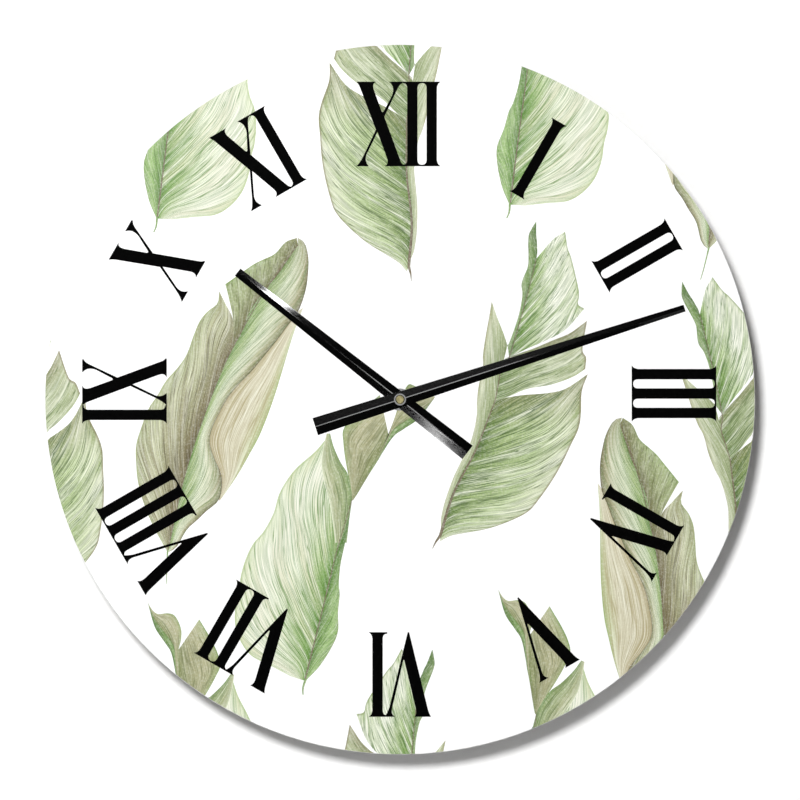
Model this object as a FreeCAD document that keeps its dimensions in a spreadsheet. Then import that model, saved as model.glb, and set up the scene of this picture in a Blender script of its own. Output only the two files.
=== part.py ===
import FreeCAD, Part
import math
import os

import Sketcher
from FreeCAD import Placement, Rotation, Vector

# Round frameless wall clock: a printed disc on a quartz movement with two hands.
# Every piece is drawn as it is seen from the front: local x to the right, local y up and
# local z out of the wall towards the room. FACE then turns it into the clock's own frame,
# where +Z is up, the wall is the plane y = 0 and the room is on the -Y side. The origin
# is the shaft's axis at the wall.

doc = FreeCAD.newDocument("WallClock")
FACE = Placement(Vector(0, 0, 0), Rotation(Vector(1, 0, 0), 90))

# Driving dimensions: millimetres, degrees or numbers of teeth.
SIZES = [
    ("dial_diameter", 406.4),
    ("dial_thickness", 6.0),
    ("dial_edge_chamfer", 0.4),
    ("dial_hole_clearance", 0.25),
    ("battery_diameter", 14.2),
    ("battery_length", 50.5),
    ("battery_nub_diameter", 5.2),
    ("battery_nub_length", 1.0),
    ("battery_clearance", 0.2),
    ("contact_room", 2.7),
    ("contact_thickness", 0.4),
    ("contact_height", 9.0),
    ("strip_width", 1.6),
    ("case_wall", 1.4),
    ("case_front_wall", 1.4),
    ("case_corner_radius", 4.0),
    ("partition_thickness", 1.2),
    ("works_below_shaft", 10.8),
    ("works_above_shaft", 26.6),
    ("corner_post_width", 3.0),
    ("pillar_radius", 1.5),
    ("spigot_radius", 0.8),
    ("spigot_clearance", 0.05),
    ("cover_thickness", 1.5),
    ("cover_clearance", 0.1),
    ("knob_sink", 0.3),
    ("knob_thickness", 1.8),
    ("knob_radius", 5.0),
    ("knob_hole_clearance", 0.5),
    ("knob_shaft_radius", 1.2),
    ("knob_flute_radius", 0.45),
    ("knob_flutes", 16),
    ("knob_bearing_angle", 90.0),
    ("bridge_thickness", 1.2),
    ("bridge_margin", 2.0),
    ("layer_gap", 0.7),
    ("knob_gap", 0.3),
    ("magnet_gap", 0.4),
    ("magnet_radius", 3.0),
    ("magnet_thickness", 2.3),
    ("stator_air_gap", 0.3),
    ("stator_thickness", 0.6),
    ("stator_ring_width", 1.4),
    ("stator_limb_width", 2.7),
    ("core_length", 22.0),
    ("core_width", 3.0),
    ("coil_height_over_rotor", 12.5),
    ("coil_radius", 3.2),
    ("bobbin_radius", 1.9),
    ("bobbin_flange_radius", 3.6),
    ("bobbin_flange_thickness", 1.0),
    ("board_left", 8.0),
    ("board_width", 15.4),
    ("board_height", 11.6),
    ("board_thickness", 0.8),
    ("board_depth", 6.0),
    ("chip_radius", 2.6),
    ("chip_top_radius", 1.6),
    ("chip_thickness", 1.2),
    ("chip_foot_thickness", 0.3),
    ("crystal_radius", 1.0),
    ("crystal_length", 6.0),
    ("arbor_radius", 0.5),
    ("pivot_radius", 0.3),
    ("running_clearance", 0.05),
    ("boss_radius", 1.2),
    ("boss_height", 1.5),
    ("pivot_engagement", 1.0),
    ("wheel_thickness", 0.6),
    ("pinion_overhang", 0.1),
    ("rotor_module", 0.2),
    ("rotor_pinion_teeth", 12),
    ("fifth_wheel_teeth", 60),
    ("rotor_direction", 151.0),
    ("train_module", 0.25),
    ("fifth_pinion_teeth", 10),
    ("seconds_wheel_teeth", 60),
    ("fifth_direction", 145.2),
    ("seconds_pinion_teeth", 8),
    ("third_wheel_teeth", 60),
    ("third_direction", 34.4),
    ("third_pinion_teeth", 8),
    ("centre_wheel_teeth", 64),
    ("motion_module", 0.3),
    ("cannon_pinion_teeth", 12),
    ("minute_wheel_teeth", 36),
    ("minute_wheel_direction", 90.0),
    ("minute_pinion_teeth", 10),
    ("hour_wheel_teeth", 40),
    ("knob_pinion_teeth", 12),
    ("motion_wheel_thickness", 1.2),
    ("hour_wheel_thickness", 1.0),
    ("minute_post_radius", 0.6),
    ("clutch_room", 0.5),
    ("clutch_spring_thickness", 0.35),
    ("clutch_stem_radius", 1.0),
    ("clutch_collar_radius", 1.6),
    ("clutch_collar_thickness", 0.35),
    ("seconds_arbor_stop", 2.0),
    ("minute_bore_radius", 0.6),
    ("minute_tube_radius", 1.6),
    ("minute_thread_radius", 1.3),
    ("hour_tube_radius", 2.55),
    ("bushing_radius", 3.95),
    ("bushing_flange_radius", 5.45),
    ("bushing_flange_thickness", 0.6),
    ("bushing_stand", 0.6),
    ("hanger_thickness", 0.8),
    ("hanger_width", 26.0),
    ("hanger_below_shaft", 9.0),
    ("hanger_rise", 24.0),
    ("hanger_wall_gap", 1.2),
    ("hanger_case_gap", 0.4),
    ("keyhole_entry_radius", 4.5),
    ("keyhole_slot_radius", 2.0),
    ("keyhole_drop", 7.0),
    ("keyhole_above_bend", 7.5),
    ("gasket_thickness", 1.2),
    ("gasket_radius", 11.0),
    ("washer_thickness", 0.6),
    ("washer_radius", 6.0),
    ("nut_thickness", 2.2),
    ("nut_across_flats", 10.8),
    ("hand_gap", 0.8),
    ("hand_thickness", 1.0),
    ("hand_edge_thickness", 0.55),
    ("hand_ridge_width", 0.5),
    ("tube_stand", 0.4),
    ("hour_hand_length", 117.9),
    ("hour_hand_tail", 49.0),
    ("hour_hand_tip_width", 5.2),
    ("hour_hand_tail_width", 9.7),
    ("hour_hand_direction", 141.9),
    ("hour_boss_radius", 6.3),
    ("minute_hand_length", 170.6),
    ("minute_hand_tail", 50.8),
    ("minute_hand_tip_width", 4.0),
    ("minute_hand_tail_width", 10.3),
    ("minute_hand_direction", 17.8),
    ("minute_pad_radius", 3.4),
    ("collet_wall", 0.75),
    ("collet_flange", 0.9),
    ("collet_flange_thickness", 0.4),
    ("thread_length", 1.4),
    ("hand_nut_radius", 2.65),
    ("hand_nut_roof", 0.9),
    ("hand_nut_chamfer", 0.5),
]

sheet = doc.addObject("Spreadsheet::Sheet", "Sizes")
for row, (alias, number) in enumerate(SIZES, start=1):
    sheet.set(f"A{row}", alias)
    sheet.set(f"B{row}", str(number))
    sheet.setAlias(f"B{row}", alias)
doc.recompute()


# ---- Lengths that know both their number and the sheet formula they come from ----

class Measure:
    """A length or angle worked out from the sheet: its value now, and its formula."""

    def __init__(self, value, formula):
        self.value = value
        self.formula = formula

    def __add__(self, other):
        return Measure(self.value + value_of(other), f"({self.formula} + {formula_of(other)})")

    def __sub__(self, other):
        return Measure(self.value - value_of(other), f"({self.formula} - {formula_of(other)})")

    def __mul__(self, other):
        return Measure(self.value * value_of(other), f"({self.formula} * {formula_of(other)})")

    def __truediv__(self, other):
        return Measure(self.value / value_of(other), f"({self.formula} / {formula_of(other)})")

    def __neg__(self):
        return Measure(-self.value, f"(0 - {self.formula})")


class SheetReader:
    """Gives each alias of the sheet as a Measure."""

    def __getattr__(self, alias):
        return Measure(float(getattr(sheet, alias)), "Sizes." + alias)


def value_of(thing):
    return thing.value if isinstance(thing, Measure) else thing


def formula_of(thing):
    return thing.formula if isinstance(thing, Measure) else str(thing)


def larger(first, second):
    """The larger of two lengths."""
    return Measure(max(first.value, second.value), f"max({first.formula}; {second.formula})")


def across(length, direction):
    """How far a length in this direction reaches to the right."""
    number = length.value * math.cos(math.radians(direction.value))
    return Measure(number, f"({length.formula} * cos({direction.formula} * 1deg))")


def upward(length, direction):
    """How far a length in this direction reaches up."""
    number = length.value * math.sin(math.radians(direction.value))
    return Measure(number, f"({length.formula} * sin({direction.formula} * 1deg))")


S = SheetReader()
ZERO = Measure(0.0, "0")
SHAFT = (ZERO, ZERO)


# ---- Distances from the wall, layer by layer ----

knob_back = S.knob_sink
knob_front = knob_back + S.knob_thickness
bridge_back = knob_front + S.knob_gap
bridge_front = bridge_back + S.bridge_thickness
magnet_back = bridge_front + S.magnet_gap
magnet_front = magnet_back + S.magnet_thickness
fifth_back = magnet_front + S.layer_gap
fifth_front = fifth_back + S.wheel_thickness
seconds_back = fifth_front + S.layer_gap
seconds_front = seconds_back + S.wheel_thickness
third_back = seconds_front + S.layer_gap
third_front = third_back + S.wheel_thickness
centre_back = third_front + S.layer_gap
centre_front = centre_back + S.wheel_thickness
motion_back = centre_front + S.clutch_room
motion_front = motion_back + S.motion_wheel_thickness
hour_wheel_back = motion_front + S.knob_gap
hour_wheel_front = hour_wheel_back + S.hour_wheel_thickness

bay_size = S.battery_diameter + S.battery_clearance * 2
case_inside = larger(hour_wheel_front + S.knob_gap, bay_size)
case_front = case_inside + S.case_front_wall
hanger_front = case_front + S.hanger_thickness
gasket_front = hanger_front + S.gasket_thickness
dial_front = gasket_front + S.dial_thickness
washer_front = dial_front + S.washer_thickness
nut_front = washer_front + S.nut_thickness
bushing_end = nut_front + S.bushing_stand
hour_hand_back = bushing_end + S.hand_gap
hour_hand_front = hour_hand_back + S.hand_thickness
hour_tube_end = hour_hand_front + S.tube_stand
minute_hand_back = hour_tube_end + S.hand_gap
minute_hand_front = minute_hand_back + S.hand_thickness
minute_arbor_end = minute_hand_front + S.thread_length
hand_nut_front = minute_arbor_end + S.hand_nut_roof

# ---- Outline of the case, measured from the shaft ----

half_inside = (S.battery_length + S.contact_room) / 2
half_case = half_inside + S.case_wall
works_low = -S.works_below_shaft
works_high = S.works_above_shaft
partition_low = works_low - S.partition_thickness
bay_low = partition_low - bay_size
case_low = bay_low - S.case_wall
case_high = works_high + S.case_wall
bay_middle = bay_low + bay_size / 2

# ---- Where the arbors stand ----


def mesh_distance(module, first_teeth, second_teeth):
    """Centre distance of two meshing gears."""
    return module * (first_teeth + second_teeth) / 2


def beside(origin, distance, direction):
    """The point at this distance and direction from another."""
    return (origin[0] + across(distance, direction), origin[1] + upward(distance, direction))


fifth_distance = mesh_distance(S.train_module, S.fifth_pinion_teeth, S.seconds_wheel_teeth)
third_distance = mesh_distance(S.train_module, S.seconds_pinion_teeth, S.third_wheel_teeth)
rotor_distance = mesh_distance(S.rotor_module, S.rotor_pinion_teeth, S.fifth_wheel_teeth)
motion_distance = mesh_distance(S.motion_module, S.cannon_pinion_teeth, S.minute_wheel_teeth)
knob_distance = mesh_distance(S.motion_module, S.knob_pinion_teeth, S.minute_wheel_teeth)
centre_module = third_distance * 2 / (S.third_pinion_teeth + S.centre_wheel_teeth)
hour_module = motion_distance * 2 / (S.minute_pinion_teeth + S.hour_wheel_teeth)

THIRD = beside(SHAFT, third_distance, S.third_direction)
FIFTH = beside(SHAFT, fifth_distance, S.fifth_direction)
ROTOR = beside(FIFTH, rotor_distance, S.rotor_direction)
MINUTE_POST = beside(SHAFT, motion_distance, S.minute_wheel_direction)
KNOB = beside(MINUTE_POST, knob_distance, S.knob_bearing_angle)
COIL = (ROTOR[0], ROTOR[1] + S.coil_height_over_rotor)

core_end_offset = (S.core_length - S.stator_limb_width) / 2
CORE_ENDS = [(COIL[0] - core_end_offset, COIL[1]), (COIL[0] + core_end_offset, COIL[1])]
stator_back = magnet_back + (S.magnet_thickness - S.stator_thickness) / 2
stator_front = stator_back + S.stator_thickness
core_front = stator_front + S.stator_thickness
core_middle = stator_front + S.stator_thickness / 2

wheel_reach = S.train_module * (S.third_wheel_teeth / 2 + 1)
pillar_right = THIRD[0] + wheel_reach + S.pillar_radius * 2
pillar_low = works_low + S.pillar_radius * 2 + S.contact_thickness
BRIDGE_PILLARS = [
    (ROTOR[0] - S.magnet_radius - S.stator_limb_width / 2, pillar_low),
    (pillar_right, pillar_low),
    (pillar_right, ROTOR[1]),
]
bridge_left = BRIDGE_PILLARS[0][0] - S.bridge_margin
bridge_right = pillar_right + S.bridge_margin
bridge_low = pillar_low - S.bridge_margin
bridge_high = ROTOR[1] + S.magnet_radius + S.arbor_radius

board_back = S.board_depth
board_front = board_back + S.board_thickness
board_low = ROTOR[1] + S.pillar_radius + S.bridge_margin * 2
board_right = S.board_left + S.board_width
board_high = board_low + S.board_height
BOARD_PILLARS = [
    (S.board_left + S.bridge_margin, board_low + S.bridge_margin),
    (board_right - S.bridge_margin, board_high - S.bridge_margin),
]


# ---- Ways of making solids ----

pieces = []


def bind(thing, attribute, measure):
    thing.setExpression(attribute, formula_of(measure))


def seat(thing, right, up, out):
    bind(thing, "Placement.Base.x", right)
    bind(thing, "Placement.Base.y", up)
    bind(thing, "Placement.Base.z", out)


def post(name, radius, back, front, centre=SHAFT):
    """A round bar between two distances from the wall."""
    bar = doc.addObject("Part::Cylinder", name)
    bind(bar, "Radius", radius)
    bind(bar, "Height", front - back)
    seat(bar, centre[0], centre[1], back)
    return bar


def block(name, left, right, low, high, back, front):
    """A rectangular block, given by its six faces."""
    box = doc.addObject("Part::Box", name)
    bind(box, "Length", right - left)
    bind(box, "Width", high - low)
    bind(box, "Height", front - back)
    seat(box, left, low, back)
    return box


def crossbar(name, radius, left, right, up, out):
    """A round bar that lies from left to right."""
    bar = doc.addObject("Part::Cylinder", name)
    bar.Placement = Placement(Vector(0, 0, 0), Rotation(Vector(0, 1, 0), 90))
    bind(bar, "Radius", radius)
    bind(bar, "Height", right - left)
    seat(bar, left, up, out)
    return bar


def join(name, parts):
    fusion = doc.addObject("Part::MultiFuse", name)
    fusion.Shapes = parts
    fusion.Refine = True
    return fusion


def less(name, base, tools):
    """The base with the tools cut out of it."""
    cut = doc.addObject("Part::Cut", name)
    cut.Base = base
    cut.Tool = tools[0] if len(tools) == 1 else join(name + "_tools", tools)
    cut.Refine = True
    return cut


def sub_part(feature, label):
    """Names a finished piece and turns it from the front view into the clock's frame."""
    feature.Label = label
    feature.Placement = FACE
    pieces.append(feature)


def new_sketch(body, name, out):
    """A sketch parallel to the wall, at this distance from it."""
    plane = [item for item in body.Origin.OriginFeatures if item.Role == "XY_Plane"][0]
    sketch = body.newObject("Sketcher::SketchObject", name)
    sketch.AttachmentSupport = [(plane, "")]
    sketch.MapMode = "FlatFace"
    bind(sketch, "AttachmentOffset.Base.z", out)
    return sketch


def name_constraint(sketch, constraint, label, measure):
    """Adds a dimension to a sketch and ties it to the sheet."""
    number = sketch.addConstraint(constraint)
    sketch.renameConstraint(number, label)
    sketch.setExpression("Constraints." + label, formula_of(measure))


def draw_circle(sketch, label, radius, centre=SHAFT):
    middle = Vector(centre[0].value, centre[1].value, 0)
    curve = sketch.addGeometry(Part.Circle(middle, Vector(0, 0, 1), radius.value), False)
    name_constraint(sketch, Sketcher.Constraint("Radius", curve, radius.value), label + "_radius", radius)
    if centre is SHAFT:
        sketch.addConstraint(Sketcher.Constraint("Coincident", curve, 3, -1, 1))
        return
    right = Sketcher.Constraint("DistanceX", -1, 1, curve, 3, middle.x)
    name_constraint(sketch, right, label + "_right", centre[0])
    up = Sketcher.Constraint("DistanceY", -1, 1, curve, 3, middle.y)
    name_constraint(sketch, up, label + "_up", centre[1])


def draw_rectangle(sketch, label, left, right, low, high):
    """A rectangle whose four sides are each tied to a distance from the shaft."""
    corners = [
        Vector(left.value, low.value, 0),
        Vector(right.value, low.value, 0),
        Vector(right.value, high.value, 0),
        Vector(left.value, high.value, 0),
    ]
    first = sketch.GeometryCount
    for number in range(4):
        side = Part.LineSegment(corners[number], corners[(number + 1) % 4])
        sketch.addGeometry(side, False)
    for number in range(4):
        following = first + (number + 1) % 4
        sketch.addConstraint(Sketcher.Constraint("Coincident", first + number, 2, following, 1))
        direction = "Horizontal" if number % 2 == 0 else "Vertical"
        sketch.addConstraint(Sketcher.Constraint(direction, first + number))
    low_left = (first, 1)
    high_right = (first + 2, 1)
    tied = [
        ("DistanceX", low_left, left, "left"),
        ("DistanceY", low_left, low, "low"),
        ("DistanceX", high_right, right, "right"),
        ("DistanceY", high_right, high, "high"),
    ]
    for kind, corner, measure, word in tied:
        constraint = Sketcher.Constraint(kind, -1, 1, corner[0], corner[1], measure.value)
        name_constraint(sketch, constraint, f"{label}_{word}", measure)


def pad(body, sketch, name, length):
    """Material from the sketch's plane towards the room."""
    feature = body.newObject("PartDesign::Pad", name)
    feature.Profile = sketch
    bind(feature, "Length", length)
    return feature


def pocket(body, sketch, name, length):
    """A hollow from the sketch's plane towards the room, checked to have cut something."""
    doc.recompute()
    before = body.Shape.Volume
    feature = body.newObject("PartDesign::Pocket", name)
    feature.Profile = sketch
    feature.Reversed = True
    bind(feature, "Length", length)
    doc.recompute()
    if body.Shape.Volume >= before:
        raise ValueError(name + " cuts nothing")
    return feature


# ---- Gears ----

ADDENDUM = 0.85
DEDENDUM = 1.15
TOOTH_AT_ROOT = 0.50
TOOTH_AT_PITCH = 0.38
TOOTH_AT_TIP = 0.18


def tooth_pitch(teeth):
    return 360.0 / teeth


def gear_face(teeth, module, phase):
    """The outline of a gear with straight-flanked teeth, one of them centred on the phase."""
    pitch_radius = module * teeth / 2
    root = pitch_radius - DEDENDUM * module
    tip = pitch_radius + ADDENDUM * module
    steps = [
        (root, -TOOTH_AT_ROOT / 2),
        (pitch_radius, -TOOTH_AT_PITCH / 2),
        (tip, -TOOTH_AT_TIP / 2),
        (tip, TOOTH_AT_TIP / 2),
        (pitch_radius, TOOTH_AT_PITCH / 2),
        (root, TOOTH_AT_ROOT / 2),
    ]
    points = []
    for tooth in range(teeth):
        for radius, share in steps:
            angle = math.radians(phase + (tooth + share) * tooth_pitch(teeth))
            points.append(Vector(radius * math.cos(angle), radius * math.sin(angle), 0))
    return Part.Face(Part.makePolygon(points + points[:1]))


def toothed_disc(name, teeth, module, phase, back, front, centre=SHAFT):
    """A gear's toothed rim and web, between two distances from the wall."""
    face = gear_face(int(teeth.value), module.value, phase)
    disc = doc.addObject("Part::Feature", name)
    solid = face.extrude(Vector(0, 0, front.value - back.value))
    solid.translate(Vector(centre[0].value, centre[1].value, back.value))
    disc.Shape = solid
    return disc


def meshing_phase(phase, teeth, direction, mate_teeth):
    """Phase of a gear that meshes with another, which it meets in this direction."""
    pitch = tooth_pitch(teeth.value)
    past_tooth = ((direction - phase) / pitch) % 1.0
    return direction + 180.0 + (past_tooth - 0.5) * tooth_pitch(mate_teeth.value)


PHASES = {"seconds_wheel": 0.0, "seconds_pinion": 0.0, "fifth_wheel": 0.0, "third_pinion": 0.0}
PHASES["cannon_pinion"] = 0.0
PHASES["minute_pinion"] = 0.0
PHASES["fifth_pinion"] = meshing_phase(
    PHASES["seconds_wheel"], S.seconds_wheel_teeth, S.fifth_direction.value, S.fifth_pinion_teeth)
PHASES["rotor_pinion"] = meshing_phase(
    PHASES["fifth_wheel"], S.fifth_wheel_teeth, S.rotor_direction.value, S.rotor_pinion_teeth)
PHASES["third_wheel"] = meshing_phase(
    PHASES["seconds_pinion"], S.seconds_pinion_teeth, S.third_direction.value, S.third_wheel_teeth)
PHASES["centre_wheel"] = meshing_phase(
    PHASES["third_pinion"], S.third_pinion_teeth, S.third_direction.value + 180.0, S.centre_wheel_teeth)
PHASES["minute_wheel"] = meshing_phase(
    PHASES["cannon_pinion"], S.cannon_pinion_teeth, S.minute_wheel_direction.value, S.minute_wheel_teeth)
PHASES["hour_wheel"] = meshing_phase(
    PHASES["minute_pinion"], S.minute_pinion_teeth, S.minute_wheel_direction.value + 180.0,
    S.hour_wheel_teeth)
PHASES["knob_pinion"] = meshing_phase(
    PHASES["minute_wheel"], S.minute_wheel_teeth, S.knob_bearing_angle.value, S.knob_pinion_teeth)


# ---- Dial and what clamps it to the movement ----

def make_dial_panel():
    """The round board, with a small chamfer round its front edge."""
    body = doc.addObject("PartDesign::Body", "dial_panel")
    disc = new_sketch(body, "dial_outline", gasket_front)
    draw_circle(disc, "rim", S.dial_diameter / 2)
    pad(body, disc, "dial_board", S.dial_thickness)
    hole = new_sketch(body, "dial_hole_outline", gasket_front)
    draw_circle(hole, "hole", S.bushing_radius + S.dial_hole_clearance)
    pocket(body, hole, "dial_hole", S.dial_thickness)
    rim = body.newObject("PartDesign::Chamfer", "dial_edge")
    board = body.getObject("dial_hole")
    names = []
    for number, edge in enumerate(board.Shape.Edges, start=1):
        is_rim = abs(edge.Length - math.pi * S.dial_diameter.value) < 1.0
        if is_rim and edge.BoundBox.ZMin > dial_front.value - S.dial_thickness.value / 2:
            names.append(f"Edge{number}")
    rim.Base = (board, names)
    bind(rim, "Size", S.dial_edge_chamfer)
    body.Tip = rim
    sub_part(body, "dial_panel")


def make_ring(label, inner, outer, back, front):
    """A flat ring round the shaft, made as one padded sketch of two circles."""
    body = doc.addObject("PartDesign::Body", label)
    outline = new_sketch(body, label + "_outline", back)
    draw_circle(outline, "outside", outer)
    draw_circle(outline, "inside", inner)
    pad(body, outline, label + "_ring", front - back)
    sub_part(body, label)


def make_dial_nut():
    """Hexagonal nut on the threaded bushing."""
    hexagon = doc.addObject("Part::Prism", "nut_hexagon")
    hexagon.Polygon = 6
    bind(hexagon, "Circumradius", S.nut_across_flats / math.sqrt(3))
    bind(hexagon, "Height", S.nut_thickness)
    seat(hexagon, ZERO, ZERO, washer_front)
    bore = post("nut_bore", S.bushing_radius, washer_front, nut_front)
    sub_part(less("nut_body", hexagon, [bore]), "dial_nut")


def make_hanger_plate():
    """Steel hanger clamped behind the dial: down behind the dial, back round the top of the
    case, and up beside the wall with a keyhole."""
    half_width = S.hanger_width / 2
    bend_low = case_high + S.hanger_case_gap
    bend_high = bend_low + S.hanger_thickness
    tab_front = S.hanger_wall_gap + S.hanger_thickness
    entry_height = bend_high + S.keyhole_above_bend
    slot_end = entry_height + S.keyhole_drop
    front_leaf = block("hanger_front", -half_width, half_width, -S.hanger_below_shaft, bend_high,
                       case_front, hanger_front)
    top_leaf = block("hanger_top", -half_width, half_width, bend_low, bend_high,
                     S.hanger_wall_gap, hanger_front)
    wall_leaf = block("hanger_tab", -half_width, half_width, bend_low, bend_low + S.hanger_rise,
                      S.hanger_wall_gap, tab_front)
    shaft_hole = post("hanger_shaft_hole", S.bushing_radius + S.spigot_clearance,
                      case_front, hanger_front)
    entry = post("keyhole_entry", S.keyhole_entry_radius, S.hanger_wall_gap, tab_front,
                 (ZERO, entry_height))
    slot = block("keyhole_slot", -S.keyhole_slot_radius, S.keyhole_slot_radius,
                 entry_height, slot_end, S.hanger_wall_gap, tab_front)
    slot_top = post("keyhole_slot_top", S.keyhole_slot_radius, S.hanger_wall_gap, tab_front,
                    (ZERO, slot_end))
    bent = join("hanger_bent", [front_leaf, top_leaf, wall_leaf])
    sub_part(less("hanger_body", bent, [shaft_hole, entry, slot, slot_top]), "hanger_plate")


def make_threaded_bushing():
    """Brass bushing fixed in the case's front wall, its flange let into the wall's inside."""
    flange_front = case_inside + S.bushing_flange_thickness
    barrel = post("bushing_barrel", S.bushing_radius, case_inside, bushing_end)
    flange = post("bushing_flange", S.bushing_flange_radius, case_inside, flange_front)
    bore = post("bushing_bore", S.hour_tube_radius + S.running_clearance, case_inside, bushing_end)
    turned = join("bushing_turned", [barrel, flange])
    sub_part(less("bushing_body", turned, [bore]), "threaded_bushing")


# ---- Movement: case, cover and bridge ----

def fillet_case_corners(body, base):
    """Rounds the four corners of the case that run from wall to room."""
    names = []
    for number, edge in enumerate(base.Shape.Edges, start=1):
        if abs(edge.BoundBox.ZLength - case_front.value) < 1e-6:
            names.append(f"Edge{number}")
    rounded = body.newObject("PartDesign::Fillet", "case_corners")
    rounded.Base = (base, names)
    bind(rounded, "Radius", S.case_corner_radius)


def make_movement_case():
    """Moulded box, open towards the wall: works above, battery bay below, pillars inside."""
    body = doc.addObject("PartDesign::Body", "movement_case")
    outline = new_sketch(body, "case_outline", ZERO)
    draw_rectangle(outline, "case", -half_case, half_case, case_low, case_high)
    solid = pad(body, outline, "case_block", case_front)
    doc.recompute()
    fillet_case_corners(body, solid)

    recess = new_sketch(body, "cover_recess_outline", ZERO)
    draw_rectangle(recess, "recess", -half_inside, half_inside, partition_low, works_high)
    pocket(body, recess, "cover_recess", S.cover_thickness)
    chamber = new_sketch(body, "chamber_outline", ZERO)
    draw_rectangle(chamber, "chamber", -half_inside, half_inside, works_low, works_high)
    pocket(body, chamber, "works_chamber", case_inside)
    bay = new_sketch(body, "bay_outline", ZERO)
    draw_rectangle(bay, "bay", -half_inside, half_inside, bay_low, partition_low)
    pocket(body, bay, "battery_bay", case_inside)

    corners = new_sketch(body, "corner_posts_outline", S.cover_thickness)
    post_low = works_high - S.corner_post_width
    post_inner = half_inside - S.corner_post_width
    draw_rectangle(corners, "left", -half_inside, -post_inner, post_low, works_high)
    draw_rectangle(corners, "right", post_inner, half_inside, post_low, works_high)
    pad(body, corners, "corner_posts", case_inside - S.cover_thickness)

    bearing_back = case_inside - S.boss_height
    supports = [
        ("bridge_pillars", S.pillar_radius, bridge_front, BRIDGE_PILLARS),
        ("bridge_spigots", S.spigot_radius, bridge_back, BRIDGE_PILLARS),
        ("board_pillars", S.boss_radius, board_front, BOARD_PILLARS),
        ("core_pillars", S.boss_radius, core_front, CORE_ENDS),
        ("core_spigots", S.spigot_radius, stator_back, CORE_ENDS),
        ("arbor_bosses", S.boss_radius, bearing_back, [THIRD, FIFTH, ROTOR, KNOB]),
        ("minute_post", S.minute_post_radius, motion_back, [MINUTE_POST]),
    ]
    for name, radius, back, places in supports:
        outline = new_sketch(body, name + "_outline", back)
        for number, place in enumerate(places):
            draw_circle(outline, f"place{number}", radius, place)
        pad(body, outline, name, case_inside - back)

    pivots = new_sketch(body, "pivot_holes_outline", bearing_back)
    for number, place in enumerate([THIRD, FIFTH, ROTOR]):
        draw_circle(pivots, f"pivot{number}", S.pivot_radius + S.running_clearance, place)
    draw_circle(pivots, "knob", S.minute_post_radius + S.running_clearance, KNOB)
    pocket(body, pivots, "pivot_holes", S.boss_height)
    seat_outline = new_sketch(body, "bushing_seat_outline", case_inside)
    draw_circle(seat_outline, "seat", S.bushing_flange_radius)
    pocket(body, seat_outline, "bushing_seat", S.bushing_flange_thickness)
    hole = new_sketch(body, "bushing_hole_outline", case_inside)
    draw_circle(hole, "hole", S.bushing_radius)
    pocket(body, hole, "bushing_hole", S.case_front_wall)

    notch_depth = S.contact_thickness + S.battery_clearance
    notches = new_sketch(body, "strip_notches_outline", S.cover_thickness)
    draw_rectangle(notches, "left", -half_inside, notch_depth - half_inside, partition_low, works_low)
    draw_rectangle(notches, "right", half_inside - notch_depth, half_inside, partition_low, works_low)
    pocket(body, notches, "strip_notches", case_inside - S.cover_thickness)
    sub_part(body, "movement_case")


def make_rear_cover():
    """Plate over the works, level with the case's rim, with a hole for the setting knob."""
    gap = S.cover_clearance
    body = doc.addObject("PartDesign::Body", "rear_cover")
    outline = new_sketch(body, "cover_outline", ZERO)
    draw_rectangle(outline, "cover", gap - half_inside, half_inside - gap,
                   partition_low + gap, works_high - gap)
    draw_circle(outline, "knob_hole", S.knob_radius + S.knob_hole_clearance, KNOB)
    pad(body, outline, "cover_plate", S.cover_thickness)
    sub_part(body, "rear_cover")


def make_train_bridge():
    """Plate that carries the arbors' rear pivots, pressed on the three bridge pillars."""
    tab_half = S.knob_shaft_radius + S.bridge_margin
    plate = block("bridge_plate", bridge_left, bridge_right, bridge_low, bridge_high,
                  bridge_back, bridge_front)
    tab = block("bridge_tab", -tab_half, tab_half, ZERO, KNOB[1] + tab_half,
                bridge_back, bridge_front)
    holes = [post("knob_shaft_hole", S.knob_shaft_radius + S.running_clearance,
                  bridge_back, bridge_front, KNOB)]
    for place in [SHAFT, THIRD, FIFTH, ROTOR]:
        holes.append(post("pivot_hole", S.pivot_radius + S.running_clearance,
                          bridge_back, bridge_front, place))
    for place in BRIDGE_PILLARS:
        holes.append(post("spigot_hole", S.spigot_radius, bridge_back, bridge_front, place))
    outline = join("bridge_outline", [plate, tab])
    sub_part(less("bridge_body", outline, holes), "train_bridge")


# ---- Motion work: from the clutch to the hands ----

def make_centre_wheel():
    """Wheel that drives the minute arbor through the spring clutch."""
    disc = toothed_disc("centre_disc", S.centre_wheel_teeth, centre_module,
                        PHASES["centre_wheel"], centre_back, centre_front)
    bore = post("centre_bore", S.clutch_stem_radius + S.running_clearance, centre_back, centre_front)
    sub_part(less("centre_body", disc, [bore]), "centre_wheel")


def make_clutch_spring():
    """Spring washer between the centre wheel and the cannon pinion."""
    middle = centre_front + S.clutch_room / 2
    back = middle - S.clutch_spring_thickness / 2
    ring = post("spring_ring", S.clutch_collar_radius + S.arbor_radius, back,
                back + S.clutch_spring_thickness)
    hole = post("spring_hole", S.clutch_stem_radius, back, back + S.clutch_spring_thickness)
    sub_part(less("spring_body", ring, [hole]), "clutch_spring")


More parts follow.
